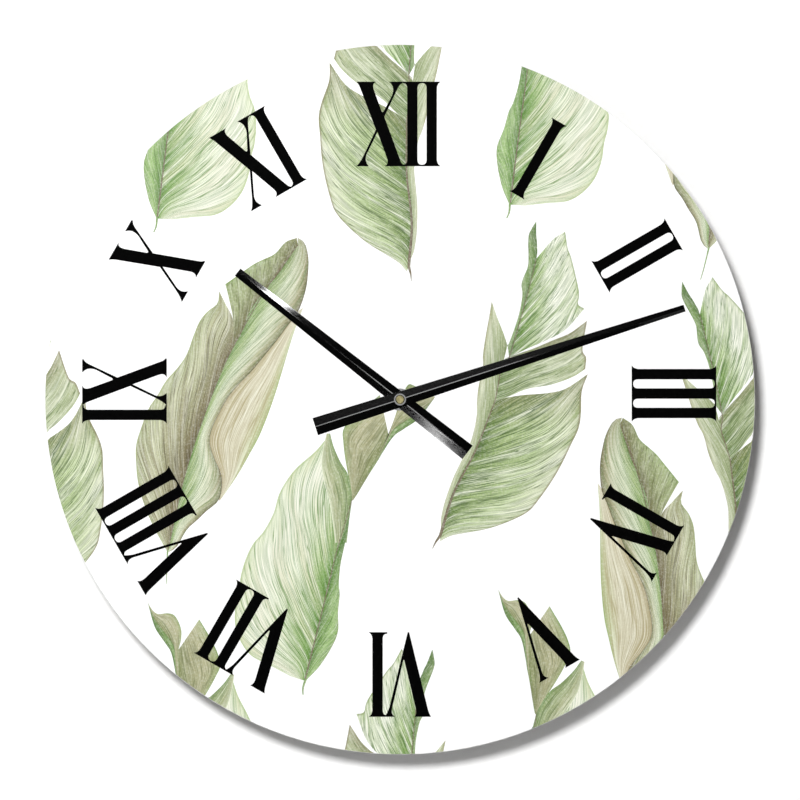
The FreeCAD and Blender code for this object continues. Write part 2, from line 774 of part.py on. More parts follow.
def make_minute_arbor():
    """Hollow arbor: collar, clutch stem, cannon pinion, tube and threaded end."""
    collar_back = centre_back - S.clutch_collar_thickness - S.running_clearance
    collar_front = collar_back + S.clutch_collar_thickness
    collar = post("clutch_collar", S.clutch_collar_radius, collar_back, collar_front)
    stem = post("clutch_stem", S.clutch_stem_radius, collar_back, motion_back)
    pinion = toothed_disc("cannon_pinion", S.cannon_pinion_teeth, S.motion_module,
                          PHASES["cannon_pinion"], motion_back, motion_front)
    tube = post("minute_tube", S.minute_tube_radius, motion_front, minute_hand_back)
    thread = post("minute_thread", S.minute_thread_radius, minute_hand_back, minute_arbor_end)
    bore = post("minute_bore", S.minute_bore_radius, collar_back, minute_arbor_end)
    turned = join("minute_turned", [collar, stem, pinion, tube, thread])
    sub_part(less("minute_arbor_body", turned, [bore]), "minute_arbor")


def make_minute_wheel():
    """Idler between the cannon pinion and the hour wheel, on a post of the case."""
    disc_front = motion_front - S.running_clearance
    disc = toothed_disc("minute_disc", S.minute_wheel_teeth, S.motion_module,
                        PHASES["minute_wheel"], motion_back, disc_front, MINUTE_POST)
    pinion = toothed_disc("minute_pinion", S.minute_pinion_teeth, hour_module,
                          PHASES["minute_pinion"], disc_front, hour_wheel_front, MINUTE_POST)
    bore = post("minute_wheel_bore", S.minute_post_radius + S.running_clearance,
                motion_back, hour_wheel_front, MINUTE_POST)
    moulded = join("minute_moulded", [disc, pinion])
    sub_part(less("minute_wheel_body", moulded, [bore]), "minute_wheel")


def make_hour_wheel():
    """Hour wheel and its tube, which turns inside the bushing and over the minute arbor."""
    disc = toothed_disc("hour_disc", S.hour_wheel_teeth, hour_module,
                        PHASES["hour_wheel"], hour_wheel_back, hour_wheel_front)
    tube = post("hour_tube", S.hour_tube_radius, hour_wheel_back, hour_tube_end)
    bore = post("hour_bore", S.minute_tube_radius + S.running_clearance,
                hour_wheel_back, hour_tube_end)
    moulded = join("hour_moulded", [disc, tube])
    sub_part(less("hour_wheel_body", moulded, [bore]), "hour_wheel")


def make_setting_knob():
    """Fluted knob at the back, its shaft and the pinion that turns the minute wheel."""
    disc = post("knob_disc", S.knob_radius, knob_back, knob_front, KNOB)
    shaft = post("knob_shaft", S.knob_shaft_radius, knob_front, motion_back, KNOB)
    pinion = toothed_disc("knob_pinion", S.knob_pinion_teeth, S.motion_module,
                          PHASES["knob_pinion"], motion_back, motion_front, KNOB)
    nose_end = case_inside - S.battery_clearance
    nose = post("knob_nose", S.minute_post_radius, motion_front, nose_end, KNOB)
    flutes = []
    count = int(S.knob_flutes.value)
    for number in range(count):
        direction = Measure(number * 360.0 / count, str(number * 360.0 / count))
        place = beside(KNOB, S.knob_radius, direction)
        flutes.append(post("knob_flute", S.knob_flute_radius, knob_back, knob_front, place))
    moulded = join("knob_moulded", [disc, shaft, pinion, nose])
    sub_part(less("knob_body", moulded, flutes), "setting_knob")


# ---- Going train: from the rotor to the third wheel ----

def make_arbored_wheel(label, place, rim, pinion):
    """A moulded wheel, its pinion on the room side and its arbor between bridge and boss.
    The rim and the pinion are given as teeth, module and phase name, then two distances."""
    teeth, module, phase_name, back, front = rim
    disc = toothed_disc(label + "_disc", teeth, module, PHASES[phase_name], back, front, place)
    teeth, module, phase_name, pinion_back, pinion_front = pinion
    small = toothed_disc(label + "_pinion", teeth, module, PHASES[phase_name],
                         pinion_back, pinion_front, place)
    body_back = bridge_front + S.pinion_overhang
    body_front = case_inside - S.boss_height - S.pinion_overhang
    pivot_front = body_front + S.pivot_engagement
    arbor = post(label + "_arbor", S.arbor_radius, body_back, body_front, place)
    pivot = post(label + "_pivot", S.pivot_radius, bridge_back, pivot_front, place)
    sub_part(join(label + "_body", [disc, small, arbor, pivot]), label)


def make_third_wheel():
    rim = (S.third_wheel_teeth, S.train_module, "third_wheel", third_back, third_front)
    pinion = (S.third_pinion_teeth, centre_module, "third_pinion",
              third_front, centre_front + S.pinion_overhang)
    make_arbored_wheel("third_wheel", THIRD, rim, pinion)


def make_fifth_wheel():
    rim = (S.fifth_wheel_teeth, S.rotor_module, "fifth_wheel", fifth_back, fifth_front)
    pinion = (S.fifth_pinion_teeth, S.train_module, "fifth_pinion",
              fifth_front, seconds_front + S.pinion_overhang)
    make_arbored_wheel("fifth_wheel", FIFTH, rim, pinion)


def make_seconds_wheel():
    """Once-a-minute wheel and pinion, pressed on the steel arbor in the shaft's axis."""
    disc = toothed_disc("seconds_disc", S.seconds_wheel_teeth, S.train_module,
                        PHASES["seconds_wheel"], seconds_back, seconds_front)
    pinion = toothed_disc("seconds_pinion", S.seconds_pinion_teeth, S.train_module,
                          PHASES["seconds_pinion"], seconds_front, third_front + S.pinion_overhang)
    bore = post("seconds_bore", S.arbor_radius, seconds_back, third_front + S.pinion_overhang)
    moulded = join("seconds_moulded", [disc, pinion])
    sub_part(less("seconds_body", moulded, [bore]), "seconds_wheel")


def make_seconds_arbor():
    """Steel pin from the bridge through the hollow minute arbor, short of the hand nut."""
    body_back = bridge_front + S.pinion_overhang
    pin = post("seconds_pin", S.arbor_radius, body_back, minute_hand_back - S.seconds_arbor_stop)
    pivot = post("seconds_pivot", S.pivot_radius, bridge_back, body_back)
    sub_part(join("seconds_arbor_body", [pin, pivot]), "seconds_arbor")


def make_rotor():
    """Rotor pinion with its arbor, and the ring magnet pressed on it."""
    body_back = bridge_front + S.pinion_overhang
    body_front = case_inside - S.boss_height - S.pinion_overhang
    pinion = toothed_disc("rotor_teeth", S.rotor_pinion_teeth, S.rotor_module,
                          PHASES["rotor_pinion"], magnet_front + S.pinion_overhang,
                          fifth_front + S.pinion_overhang, ROTOR)
    arbor = post("rotor_arbor", S.arbor_radius, body_back, body_front, ROTOR)
    pivot = post("rotor_pivot", S.pivot_radius, bridge_back, body_front + S.pivot_engagement, ROTOR)
    sub_part(join("rotor_pinion_body", [pinion, arbor, pivot]), "rotor_pinion")
    magnet = post("magnet_disc", S.magnet_radius, magnet_back, magnet_front, ROTOR)
    hole = post("magnet_hole", S.arbor_radius, magnet_back, magnet_front, ROTOR)
    sub_part(less("magnet_body", magnet, [hole]), "rotor_magnet")


# ---- Stepping motor's fixed pieces ----

def make_stator():
    """Two soft-iron limbs that join in a ring round the rotor and reach the coil core's ends."""
    ring_radius = S.magnet_radius + S.stator_air_gap + S.stator_ring_width
    half_core = S.core_length / 2
    top = COIL[1] + S.core_width / 2
    foot_low = ROTOR[1] - S.stator_limb_width / 2
    foot_high = ROTOR[1] + S.stator_limb_width / 2
    ring = post("stator_ring", ring_radius, stator_back, stator_front, ROTOR)
    foot = block("stator_foot", COIL[0] - half_core, COIL[0] + half_core, foot_low, foot_high,
                 stator_back, stator_front)
    left = block("stator_left", COIL[0] - half_core, COIL[0] - half_core + S.stator_limb_width,
                 foot_low, top, stator_back, stator_front)
    right = block("stator_right", COIL[0] + half_core - S.stator_limb_width, COIL[0] + half_core,
                  foot_low, top, stator_back, stator_front)
    holes = [post("stator_hole", S.magnet_radius + S.stator_air_gap, stator_back, stator_front,
                  ROTOR)]
    for place in CORE_ENDS:
        holes.append(post("stator_fixing", S.spigot_radius + S.spigot_clearance,
                          stator_back, stator_front, place))
    outline = join("stator_outline", [ring, foot, left, right])
    sub_part(less("stator_body", outline, holes), "stator")


def make_coil():
    """Iron core, plastic bobbin and copper winding, lying across the top of the works."""
    half_core = S.core_length / 2
    core_low = COIL[1] - S.core_width / 2
    core_high = COIL[1] + S.core_width / 2
    core = block("core_bar", COIL[0] - half_core, COIL[0] + half_core, core_low, core_high,
                 stator_front, core_front)
    fixings = [post("core_fixing", S.spigot_radius + S.spigot_clearance,
                    stator_front, core_front, place) for place in CORE_ENDS]
    sub_part(less("core_body", core, fixings), "coil_core")

    bobbin_half = half_core - S.stator_limb_width - S.spigot_radius / 2
    winding_half = bobbin_half - S.bobbin_flange_thickness
    left = COIL[0] - bobbin_half
    right = COIL[0] + bobbin_half
    barrel = crossbar("bobbin_barrel", S.bobbin_radius, left, right, COIL[1], core_middle)
    left_flange = crossbar("bobbin_left_flange", S.bobbin_flange_radius, left,
                           COIL[0] - winding_half, COIL[1], core_middle)
    right_flange = crossbar("bobbin_right_flange", S.bobbin_flange_radius,
                            COIL[0] + winding_half, right, COIL[1], core_middle)
    tunnel = block("bobbin_tunnel", left, right, core_low, core_high, stator_front, core_front)
    moulded = join("bobbin_moulded", [barrel, left_flange, right_flange])
    sub_part(less("bobbin_body", moulded, [tunnel]), "coil_bobbin")

    wire = crossbar("winding_outside", S.coil_radius, COIL[0] - winding_half,
                    COIL[0] + winding_half, COIL[1], core_middle)
    inside = crossbar("winding_inside", S.bobbin_radius, COIL[0] - winding_half,
                      COIL[0] + winding_half, COIL[1], core_middle)
    sub_part(less("winding_body", wire, [inside]), "coil_winding")


# ---- Electronics and battery ----

def make_circuit_board():
    """Small board on two pillars, its components on the wall side."""
    body = doc.addObject("PartDesign::Body", "circuit_board")
    outline = new_sketch(body, "board_outline", board_back)
    draw_rectangle(outline, "board", S.board_left, board_right, board_low, board_high)
    pad(body, outline, "board_plate", S.board_thickness)
    sub_part(body, "circuit_board")


def make_timing_chip():
    """Bare chip under a low epoxy dome, on the board's wall side."""
    place = (S.board_left + S.bridge_margin + S.chip_radius, board_high - S.chip_radius * 1.5)
    foot_back = board_back - S.chip_foot_thickness
    foot = post("chip_foot", S.chip_radius, foot_back, board_back, place)
    dome = doc.addObject("Part::Cone", "chip_dome")
    bind(dome, "Radius1", S.chip_top_radius)
    bind(dome, "Radius2", S.chip_radius)
    bind(dome, "Height", S.chip_thickness - S.chip_foot_thickness)
    seat(dome, place[0], place[1], board_back - S.chip_thickness)
    sub_part(join("chip_body", [foot, dome]), "timing_chip")


def make_quartz_crystal():
    """Tuning-fork crystal in its metal can, lying on the board."""
    left = board_right - S.crystal_length - S.bridge_margin
    up = board_low + S.crystal_radius * 3
    can = crossbar("crystal_can", S.crystal_radius, left, left + S.crystal_length, up,
                   board_back - S.crystal_radius)
    rim = crossbar("crystal_rim", S.crystal_radius * 0.7, left - S.crystal_radius / 2, left, up,
                   board_back - S.crystal_radius)
    sub_part(join("crystal_body", [can, rim]), "quartz_crystal")


def make_positive_contact():
    """Nickelled strip: plate at the battery's nub, up the side wall, tab on the board."""
    outer = half_inside
    inner = half_inside - S.contact_thickness
    half_plate = S.contact_height / 2
    middle = case_inside / 2
    strip_front = board_front + S.strip_width * 1.5
    tab_high = board_low + S.strip_width * 1.5
    plate = block("positive_plate", inner, outer, bay_middle - half_plate, bay_middle + half_plate,
                  middle - half_plate, middle + half_plate)
    strip = block("positive_strip", inner, outer, bay_middle, tab_high, board_front, strip_front)
    tab = block("positive_tab", board_right - S.contact_thickness * 2, outer,
                board_low + S.contact_thickness, tab_high, board_front,
                board_front + S.contact_thickness)
    sub_part(join("positive_body", [plate, strip, tab]), "battery_contact_positive")


def make_negative_contact():
    """Nickelled strip: bowed leaf spring in the bay, then round the works to the board."""
    wall = -half_inside
    inner = wall + S.contact_thickness
    half_plate = S.contact_height / 2
    middle = case_inside / 2
    run_front = case_inside - S.battery_clearance
    run_back = run_front - S.contact_thickness
    run_low = works_low + S.cover_clearance
    run_high = run_low + S.strip_width
    riser_right = pillar_right - S.pillar_radius - S.layer_gap
    riser_left = riser_right - S.strip_width
    riser_high = board_low + S.strip_width
    plate = block("negative_plate", wall, inner, bay_middle - half_plate, bay_middle + half_plate,
                  middle - half_plate, middle + half_plate)
    strip = block("negative_strip", wall, inner, bay_middle, run_high,
                  middle + half_plate - S.strip_width, run_front)
    run = block("negative_run", wall, riser_right, run_low, run_high, run_back, run_front)
    rise = block("negative_rise", riser_left, riser_right, run_low, riser_high, run_back, run_front)
    tab = block("negative_tab", riser_left, riser_right, riser_high - S.contact_thickness,
                riser_high, board_front, run_front)
    leaf = doc.addObject("Part::Feature", "negative_leaf")
    leaf.Shape = bowed_leaf(wall.value, half_plate.value, middle.value)
    sub_part(join("negative_body", [plate, strip, run, rise, tab, leaf]),
             "battery_contact_negative")


def battery_left_end():
    return half_inside - S.contact_thickness - S.running_clearance - S.battery_length


def bowed_leaf(wall, half_plate, middle):
    """The spring leaf: two sloping runs of strip that meet where they press the battery."""
    thickness = S.contact_thickness.value
    root = wall + thickness / 2
    crest = battery_left_end().value - S.running_clearance.value
    rear = middle - half_plate
    front = middle + half_plate
    outline = [
        Vector(root, 0, rear), Vector(crest, 0, middle), Vector(root, 0, front),
        Vector(root, 0, front - thickness * 1.5), Vector(crest - thickness, 0, middle),
        Vector(root, 0, rear + thickness * 1.5),
    ]
    leaf = Part.Face(Part.makePolygon(outline + outline[:1]))
    width = S.contact_height.value / 2
    solid = leaf.extrude(Vector(0, width, 0))
    solid.translate(Vector(0, bay_middle.value - width / 2, 0))
    return solid


def make_battery():
    """Single AA cell across the bay, nub to the right."""
    left = battery_left_end()
    shoulder = left + S.battery_length - S.battery_nub_length
    out = case_inside - S.battery_clearance - S.battery_diameter / 2
    can = crossbar("battery_can", S.battery_diameter / 2, left, shoulder, bay_middle, out)
    nub = crossbar("battery_nub", S.battery_nub_diameter / 2, shoulder,
                   shoulder + S.battery_nub_length, bay_middle, out)
    sub_part(join("battery_body", [can, nub]), "aa_battery")


# ---- Hands ----

def hand_blade(name, length, tail, tip_width, tail_width, direction, back):
    """A straight tapering hand with a low ridge along its middle and upright edges."""
    def section(reach, width):
        half = width.value / 2
        ridge = S.hand_ridge_width.value / 2
        edge = S.hand_edge_thickness.value
        top = S.hand_thickness.value
        outline = [
            Vector(reach, -half, 0), Vector(reach, half, 0), Vector(reach, half, edge),
            Vector(reach, ridge, top), Vector(reach, -ridge, top), Vector(reach, -half, edge),
        ]
        return Part.makePolygon(outline + outline[:1])

    blade = Part.makeLoft([section(-tail.value, tail_width), section(length.value, tip_width)],
                          True, True)
    turn = Rotation(Vector(0, 0, 1), direction.value)
    blade.Placement = Placement(Vector(0, 0, back.value), turn)
    feature = doc.addObject("Part::Feature", name)
    feature.Shape = blade
    return feature


def make_hour_hand():
    """Hour hand with its round boss, and the brass collet that grips the hour tube."""
    collet_radius = S.hour_tube_radius + S.collet_wall
    blade = hand_blade("hour_blade", S.hour_hand_length, S.hour_hand_tail, S.hour_hand_tip_width,
                       S.hour_hand_tail_width, S.hour_hand_direction, hour_hand_back)
    boss = post("hour_boss", S.hour_boss_radius, hour_hand_back,
                hour_hand_back + S.hand_edge_thickness)
    hole = post("hour_hand_hole", collet_radius, hour_hand_back, hour_hand_front)
    stamped = join("hour_stamped", [blade, boss])
    sub_part(less("hour_hand_body", stamped, [hole]), "hour_hand")

    flange_back = hour_hand_back - S.collet_flange_thickness
    barrel = post("collet_barrel", collet_radius, flange_back, hour_hand_front)
    flange = post("collet_flange", collet_radius + S.collet_flange, flange_back, hour_hand_back)
    bore = post("collet_bore", S.hour_tube_radius, flange_back, hour_hand_front)
    turned = join("collet_turned", [barrel, flange])
    sub_part(less("collet_body", turned, [bore]), "hour_hand_collet")


def make_minute_hand():
    """Minute hand with the flat pad that its nut seats on."""
    blade = hand_blade("minute_blade", S.minute_hand_length, S.minute_hand_tail,
                       S.minute_hand_tip_width, S.minute_hand_tail_width,
                       S.minute_hand_direction, minute_hand_back)
    nut_pad = post("minute_pad", S.minute_pad_radius, minute_hand_back, minute_hand_front)
    hole = post("minute_hand_hole", S.minute_thread_radius, minute_hand_back, minute_hand_front)
    stamped = join("minute_stamped", [blade, nut_pad])
    sub_part(less("minute_hand_body", stamped, [hole]), "minute_hand")


def make_hand_nut():
    """Closed round nut on the threaded end of the minute arbor, its front edge turned off."""
    straight_front = hand_nut_front - S.hand_nut_chamfer
    barrel = post("hand_nut_barrel", S.hand_nut_radius, minute_hand_front, straight_front)
    top = doc.addObject("Part::Cone", "hand_nut_top")
    bind(top, "Radius1", S.hand_nut_radius)
    bind(top, "Radius2", S.hand_nut_radius - S.hand_nut_chamfer)
    bind(top, "Height", S.hand_nut_chamfer)
    seat(top, ZERO, ZERO, straight_front)
    bore = post("hand_nut_bore", S.minute_thread_radius, minute_hand_front, minute_arbor_end)
    turned = join("hand_nut_turned", [barrel, top])
    sub_part(less("hand_nut_body", turned, [bore]), "hand_nut")


# ---- The whole clock ----

make_dial_panel()
make_ring("rubber_gasket", S.bushing_radius + S.spigot_clearance, S.gasket_radius,
          hanger_front, gasket_front)
make_ring("dial_washer", S.bushing_radius + S.spigot_clearance, S.washer_radius,
          dial_front, washer_front)
make_dial_nut()
make_hanger_plate()
make_threaded_bushing()
make_movement_case()
make_rear_cover()
make_train_bridge()
make_centre_wheel()
make_clutch_spring()
make_minute_arbor()
make_minute_wheel()
make_hour_wheel()
make_setting_knob()
make_third_wheel()
make_fifth_wheel()
make_seconds_wheel()
make_seconds_arbor()
make_rotor()
make_stator()
make_coil()
make_circuit_board()
make_timing_chip()
make_quartz_crystal()
make_positive_contact()
make_negative_contact()
make_battery()
make_hour_hand()
make_minute_hand()
make_hand_nut()

doc.recompute()

for item in doc.Objects:
    if "Invalid" in item.State or "Error" in item.State:
        raise ValueError(f"{item.Label} did not compute: {item.State}")
for piece in pieces:
    if piece.Shape.isNull() or not piece.Shape.isValid() or not piece.Shape.Solids:
        raise ValueError(f"{piece.Label} has no sound solid")

os.makedirs("parts", exist_ok=True)
for piece in pieces:
    piece.Shape.exportStep(os.path.join("parts", piece.Label + ".step"))
    print(piece.Label, len(piece.Shape.Solids), round(piece.Shape.Volume, 2))
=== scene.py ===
import math

import bpy
import numpy as np
from mathutils import Matrix, Vector


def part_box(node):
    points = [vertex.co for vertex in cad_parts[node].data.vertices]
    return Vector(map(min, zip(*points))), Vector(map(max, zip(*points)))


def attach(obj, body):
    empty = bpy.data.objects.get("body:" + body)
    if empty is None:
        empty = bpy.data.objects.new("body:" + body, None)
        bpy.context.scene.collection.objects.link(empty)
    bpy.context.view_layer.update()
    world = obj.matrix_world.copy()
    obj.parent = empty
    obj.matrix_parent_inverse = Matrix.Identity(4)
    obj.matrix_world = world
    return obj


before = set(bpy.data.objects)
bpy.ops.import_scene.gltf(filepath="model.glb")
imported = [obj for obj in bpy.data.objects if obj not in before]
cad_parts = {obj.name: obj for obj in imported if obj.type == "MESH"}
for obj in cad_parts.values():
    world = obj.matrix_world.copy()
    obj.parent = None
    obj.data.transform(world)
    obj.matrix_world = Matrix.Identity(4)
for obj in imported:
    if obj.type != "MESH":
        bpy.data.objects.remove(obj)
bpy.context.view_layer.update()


# ---------------------------------------------------------------- movement case and rear cover
# The case and its snap-in cover are injection moulded black ABS. The tool is spark eroded, which
# leaves a fine pebbled skin with a low, uneven sheen that catches light on the corners.


def linear(code):
    """An sRGB hex colour as linear red, green, blue and alpha."""
    shares = [int(code[i : i + 2], 16) / 255 for i in (0, 2, 4)]
    return [s / 12.92 if s <= 0.04045 else ((s + 0.055) / 1.055) ** 2.4 for s in shares] + [1]


def per(size):
    """Repeats per metre of a pattern that is size millimetres across."""
    return 1000 / size


def output(source):
    """The output that is meant: a node stands for its first one."""
    return source.outputs[0] if isinstance(source, bpy.types.Node) else source


def add(finish, kind, inputs={}, stops=(), **settings):
    """Adds a node to a finish. An input is given a value, another node or that node's output."""
    node = finish.node_tree.nodes.new("ShaderNode" + kind)
    for name, value in settings.items():
        setattr(node, name, value)
    for socket, value in inputs.items():
        value = output(value)
        if isinstance(value, bpy.types.NodeSocket):
            finish.node_tree.links.new(value, node.inputs[socket])
        else:
            node.inputs[socket].default_value = value
    if stops:
        node.color_ramp.elements.remove(node.color_ramp.elements[1])
        node.color_ramp.elements[0].position = stops[0][0]
        for position, _ in stops[1:]:
            node.color_ramp.elements.new(position)
        for element, (_, code) in zip(node.color_ramp.elements, stops):
            element.color = linear(code)
    return node


def surface(name, **values):
    """A finish on the standard shader. values are the sockets that are the same all over."""
    finish = bpy.data.materials.new(name)
    finish.use_nodes = True
    shader = finish.node_tree.nodes["Principled BSDF"]
    for socket, value in values.items():
        shader.inputs[socket.replace("_", " ")].default_value = value
    return finish, shader


def feed(finish, shader, **sources):
    """Links nodes, or their outputs, to the shader's sockets."""
    for socket, source in sources.items():
        finish.node_tree.links.new(output(source), shader.inputs[socket.replace("_", " ")])


def dress(finish, *nodes):
    """Gives CAD pieces this finish."""
    for name in nodes:
        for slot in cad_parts[name].material_slots:
            slot.link = "OBJECT"
            slot.material = finish


# Black ABS, spark textured: nearly black, grey where the pebbles catch the light. The real grain
# is about 0.1 mm; it is drawn at 0.35 mm so that it shows.
black_abs, shader = surface("spark_textured_black_abs", IOR=1.53)
place = add(black_abs, "TexCoord").outputs["Object"]
pebbles = add(black_abs, "TexNoise", {"Vector": place, "Scale": per(0.35), "Detail": 3})
cloud = add(black_abs, "TexNoise", {"Vector": place, "Scale": per(9), "Detail": 2})
tint = add(black_abs, "ValToRGB", {"Fac": cloud}, stops=[(0.35, "131315"), (0.65, "1d1d20")])
sheen = add(black_abs, "MapRange", {"Value": pebbles, "From Min": 0.3,
                                    "From Max": 0.7, "To Min": 0.42, "To Max": 0.62})
relief = add(black_abs, "Bump", {"Height": pebbles, "Strength": 0.35, "Distance": 0.00008})
feed(black_abs, shader, Base_Color=tint, Roughness=sheen, Normal=relief)
dress(black_abs, "movement_case", "rear_cover")


# ---------------------------------------------------------------- wheels, bridge, bobbin and knob
# The wheels, their bridge, the coil bobbin and the setting knob are moulded in natural acetal.
# It is a waxy off-white that lets a little light in, with faint flow marks from the gate.
white_acetal, shader = surface("natural_acetal", IOR=1.48, Subsurface_Weight=0.12,
                               Subsurface_Scale=0.0012)
place = add(white_acetal, "TexCoord").outputs["Object"]
flow = add(white_acetal, "TexNoise", {"Vector": place, "Scale": per(5), "Detail": 2,
                                      "Distortion": 1.2})
skin = add(white_acetal, "TexNoise", {"Vector": place, "Scale": per(0.5), "Detail": 2})
tint = add(white_acetal, "ValToRGB", {"Fac": flow}, stops=[(0.3, "dedacb"), (0.7, "eae7dd")])
sheen = add(white_acetal, "MapRange", {"Value": skin, "From Min": 0.3,
                                       "From Max": 0.7, "To Min": 0.3, "To Max": 0.44})
relief = add(white_acetal, "Bump", {"Height": skin, "Strength": 0.15, "Distance": 0.00005})
feed(white_acetal, shader, Base_Color=tint, Roughness=sheen, Normal=relief)
dress(white_acetal, "train_bridge", "centre_wheel", "third_wheel", "seconds_wheel",
      "fifth_wheel", "rotor_pinion", "coil_bobbin", "minute_wheel", "hour_wheel", "setting_knob")


# ---------------------------------------------------------------- seconds arbor
# The seconds arbor is a ground steel pin pressed into its wheel. Grinding leaves fine rings
# round it and an even, slightly soft shine.
ground_steel, shader = surface("ground_steel", Metallic=1.0)
place = add(ground_steel, "TexCoord").outputs["Object"]
rings = add(ground_steel, "TexWave", {"Vector": place, "Scale": per(0.12) / 3.2,
                                      "Distortion": 2.5, "Detail": 2},
            wave_type="BANDS", bands_direction="Y")
tint = add(ground_steel, "ValToRGB", {"Fac": rings.outputs["Fac"]},
           stops=[(0.0, "a3a4a6"), (1.0, "bcbdbe")])
sheen = add(ground_steel, "MapRange", {"Value": rings.outputs["Fac"], "To Min": 0.24,
                                       "To Max": 0.38})
feed(ground_steel, shader, Base_Color=tint, Roughness=sheen)
dress(ground_steel, "seconds_arbor")


# ---------------------------------------------------------------- motor: magnet, stator and coil
# The stepping motor has a sintered ferrite magnet, an annealed iron stator and core punched from
# sheet, and a coil of enamelled copper wire. The iron is dull and lightly scratched.
ferrite, shader = surface("sintered_ferrite", IOR=1.8)
place = add(ferrite, "TexCoord").outputs["Object"]
grains = add(ferrite, "TexNoise", {"Vector": place, "Scale": per(0.25), "Detail": 4})
tint = add(ferrite, "ValToRGB", {"Fac": grains}, stops=[(0.35, "2a2a2c"), (0.7, "3d3d40")])
relief = add(ferrite, "Bump", {"Height": grains, "Strength": 0.4, "Distance": 0.00006})
sheen = add(ferrite, "MapRange", {"Value": grains, "To Min": 0.5, "To Max": 0.75})
feed(ferrite, shader, Base_Color=tint, Roughness=sheen, Normal=relief)
dress(ferrite, "rotor_magnet")

stator_iron, shader = surface("punched_soft_iron", Metallic=1.0)
place = add(stator_iron, "TexCoord").outputs["Object"]
rolled = add(stator_iron, "Mapping", {"Vector": place, "Scale": (per(8), per(0.4), per(0.2))})
lines = add(stator_iron, "TexNoise", {"Vector": rolled, "Scale": 1.0, "Detail": 3})
tint = add(stator_iron, "ValToRGB", {"Fac": lines}, stops=[(0.3, "77797b"), (0.7, "989a9b")])
sheen = add(stator_iron, "MapRange", {"Value": lines, "To Min": 0.32, "To Max": 0.58})
feed(stator_iron, shader, Base_Color=tint, Roughness=sheen)
dress(stator_iron, "stator", "coil_core")

# Enamelled copper: glossy lacquer over copper. The wire is about 0.04 mm and is drawn as turns
# of 0.25 mm so that the winding shows; the grooves between the turns are given painted shade.
copper_wire, shader = surface("enamelled_copper_wire", Metallic=1.0, Coat_Weight=0.6,
                              Coat_Roughness=0.15)
place = add(copper_wire, "TexCoord").outputs["Object"]
turns = add(copper_wire, "TexWave", {"Vector": place, "Scale": per(0.25) / 6.3, "Distortion": 0.6},
            wave_type="BANDS", bands_direction="X")
# Painted shade: the colour is dark copper in the low grooves between turns and bright on the
# crests.
tint = add(copper_wire, "ValToRGB", {"Fac": turns.outputs["Fac"]},
           stops=[(0.0, "7a3c1d"), (0.6, "c4713d")])
relief = add(copper_wire, "Bump", {"Height": turns.outputs["Fac"], "Strength": 0.5,
                                   "Distance": 0.0001})
sheen = add(copper_wire, "MapRange", {"Value": turns.outputs["Fac"], "To Min": 0.45,
                                      "To Max": 0.25})
feed(copper_wire, shader, Base_Color=tint, Roughness=sheen, Normal=relief)
dress(copper_wire, "coil_winding")


# ---------------------------------------------------------------- circuit board and chip
# The board is punched from brown phenolic paper laminate; the timing chip sits under a cast
# black epoxy dome. Paper fibres show in the board, and the dome is glossy with slight waves.
board_laminate, shader = surface("phenolic_laminate", IOR=1.55)
place = add(board_laminate, "TexCoord").outputs["Object"]
drawn = add(board_laminate, "Mapping", {"Vector": place, "Scale": (per(3), per(0.5), per(0.4))})
fibres = add(board_laminate, "TexNoise", {"Vector": drawn, "Scale": 1.0, "Detail": 4})
tint = add(board_laminate, "ValToRGB", {"Fac": fibres}, stops=[(0.3, "7b5327"), (0.7, "9c7038")])
sheen = add(board_laminate, "MapRange", {"Value": fibres, "To Min": 0.35, "To Max": 0.55})
feed(board_laminate, shader, Base_Color=tint, Roughness=sheen)
dress(board_laminate, "circuit_board")

epoxy, shader = surface("cast_black_epoxy", IOR=1.55)
place = add(epoxy, "TexCoord").outputs["Object"]
waves = add(epoxy, "TexNoise", {"Vector": place, "Scale": per(1.5), "Detail": 2})
tint = add(epoxy, "ValToRGB", {"Fac": waves}, stops=[(0.3, "0d0d0e"), (0.7, "151516")])
sheen = add(epoxy, "MapRange", {"Value": waves, "To Min": 0.14, "To Max": 0.26})
relief = add(epoxy, "Bump", {"Height": waves, "Strength": 0.2, "Distance": 0.0001})
feed(epoxy, shader, Base_Color=tint, Roughness=sheen, Normal=relief)
dress(epoxy, "timing_chip")


# ---------------------------------------------------------------- contacts and clutch spring
# The battery contacts and the clutch spring are bent from nickel plated spring steel strip, and
# the crystal sits in a drawn nickel can. Rolling leaves fine lines under a warm bright plating.
nickel_strip, shader = surface("nickel_plated_strip", Metallic=1.0)
place = add(nickel_strip, "TexCoord").outputs["Object"]
rolled = add(nickel_strip, "Mapping", {"Vector": place, "Scale": (per(0.3), per(0.3), per(6))})
lines = add(nickel_strip, "TexNoise", {"Vector": rolled, "Scale": 1.0, "Detail": 3})
tint = add(nickel_strip, "ValToRGB", {"Fac": lines}, stops=[(0.3, "b3aea4"), (0.7, "cdc9c0")])
sheen = add(nickel_strip, "MapRange", {"Value": lines, "To Min": 0.16, "To Max": 0.34})
feed(nickel_strip, shader, Base_Color=tint, Roughness=sheen)
dress(nickel_strip, "battery_contact_positive", "battery_contact_negative", "clutch_spring",
      "quartz_crystal")


